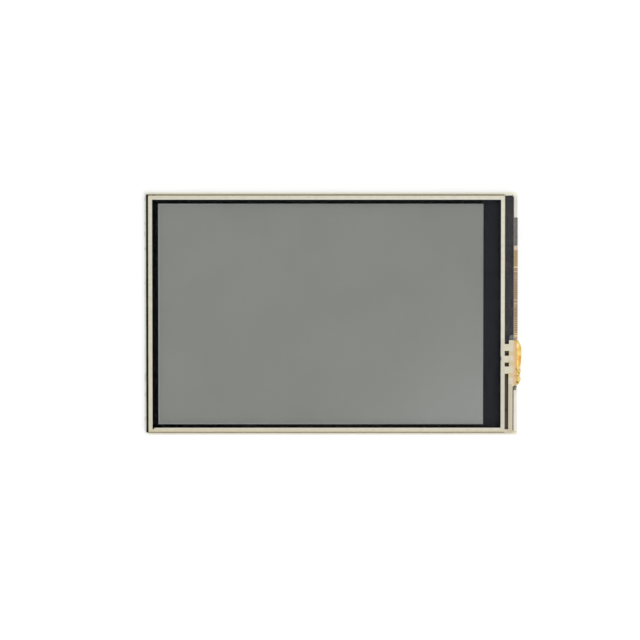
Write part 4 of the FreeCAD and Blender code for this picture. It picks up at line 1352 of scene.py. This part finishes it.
class MODULE_OT_conductors(bpy.types.Operator):
    """Make the printed conductors of the touch panel"""

    bl_idname = "display_module.conductors"
    bl_label = "Touch Conductors"

    def execute(self, context):
        mesh = node_copy("touch_conductors")
        round_edges(mesh, context.scene.module_sizes.layer_round)
        add_piece(
            mesh, "printed_conductors", [finishes()["cream"]], ["touch_conductors"],
            FLAT_SMOOTHING,
        )
        return {"FINISHED"}


class MODULE_OT_touch_tail(bpy.types.Operator):
    """Make the crumpled tail of the touch panel and its solder joints"""

    bl_idname = "display_module.touch_tail"
    bl_label = "Touch Tail"

    def execute(self, context):
        make_tail(finishes(), context.scene.module_sizes)
        make_solder_joints(finishes())
        return {"FINISHED"}


class MODULE_OT_edge_tape(bpy.types.Operator):
    """Make the grey tape that is folded over the right edge"""

    bl_idname = "display_module.edge_tape"
    bl_label = "Edge Tape"

    def execute(self, context):
        make_edge_tape(finishes())
        return {"FINISHED"}


class MODULE_OT_recess_foam(bpy.types.Operator):
    """Make the small foam pad that closes the lower end of the recess and stands in for its shade"""

    bl_idname = "display_module.recess_foam"
    bl_label = "Recess Foam and Shade"

    def execute(self, context):
        make_foam(finishes())
        return {"FINISHED"}


class MODULE_OT_flex(bpy.types.Operator):
    """Make the traces of the main flex"""

    bl_idname = "display_module.flex"
    bl_label = "Flex Traces"

    def execute(self, context):
        make_traces(finishes(), context.scene.module_sizes)
        return {"FINISHED"}


class MODULE_OT_capacitors(bpy.types.Operator):
    """Make the capacitors with their tinned ends"""

    bl_idname = "display_module.capacitors"
    bl_label = "Capacitors"

    def execute(self, context):
        for node in sorted(n for n in frame["nodes"] if n.startswith("capacitor_")):
            make_capacitor(finishes(), context.scene.module_sizes, node)
        return {"FINISHED"}


STEPS = (
    MODULE_OT_stage, MODULE_OT_finishes, MODULE_OT_shell, MODULE_OT_clear_layers,
    MODULE_OT_conductors, MODULE_OT_touch_tail, MODULE_OT_edge_tape, MODULE_OT_recess_foam, MODULE_OT_flex,
    MODULE_OT_capacitors,
)


class MODULE_PT_steps(bpy.types.Panel):
    """Lists the steps that make the display module"""

    bl_idname = "MODULE_PT_steps"
    bl_label = "Display Module"
    bl_space_type = "VIEW_3D"
    bl_region_type = "UI"
    bl_category = "Module"

    def draw(self, context):
        for step in STEPS:
            self.layout.operator(step.bl_idname)


GROUPS = {"module_sizes": ModuleSizes, "module_colours": ModuleColours, "module_stage": StageSettings}


def register():
    for made in (*GROUPS.values(), *STEPS, MODULE_PT_steps):
        bpy.utils.register_class(made)
    for name, group in GROUPS.items():
        setattr(bpy.types.Scene, name, PointerProperty(type=group))


def unregister():
    for name in GROUPS:
        delattr(bpy.types.Scene, name)
    for made in reversed((*GROUPS.values(), *STEPS, MODULE_PT_steps)):
        bpy.utils.unregister_class(made)


def main():
    register()
    for step in STEPS:
        family, name = step.bl_idname.split(".")
        getattr(getattr(bpy.ops, family), name)()


if __name__ == "__main__":
    main()
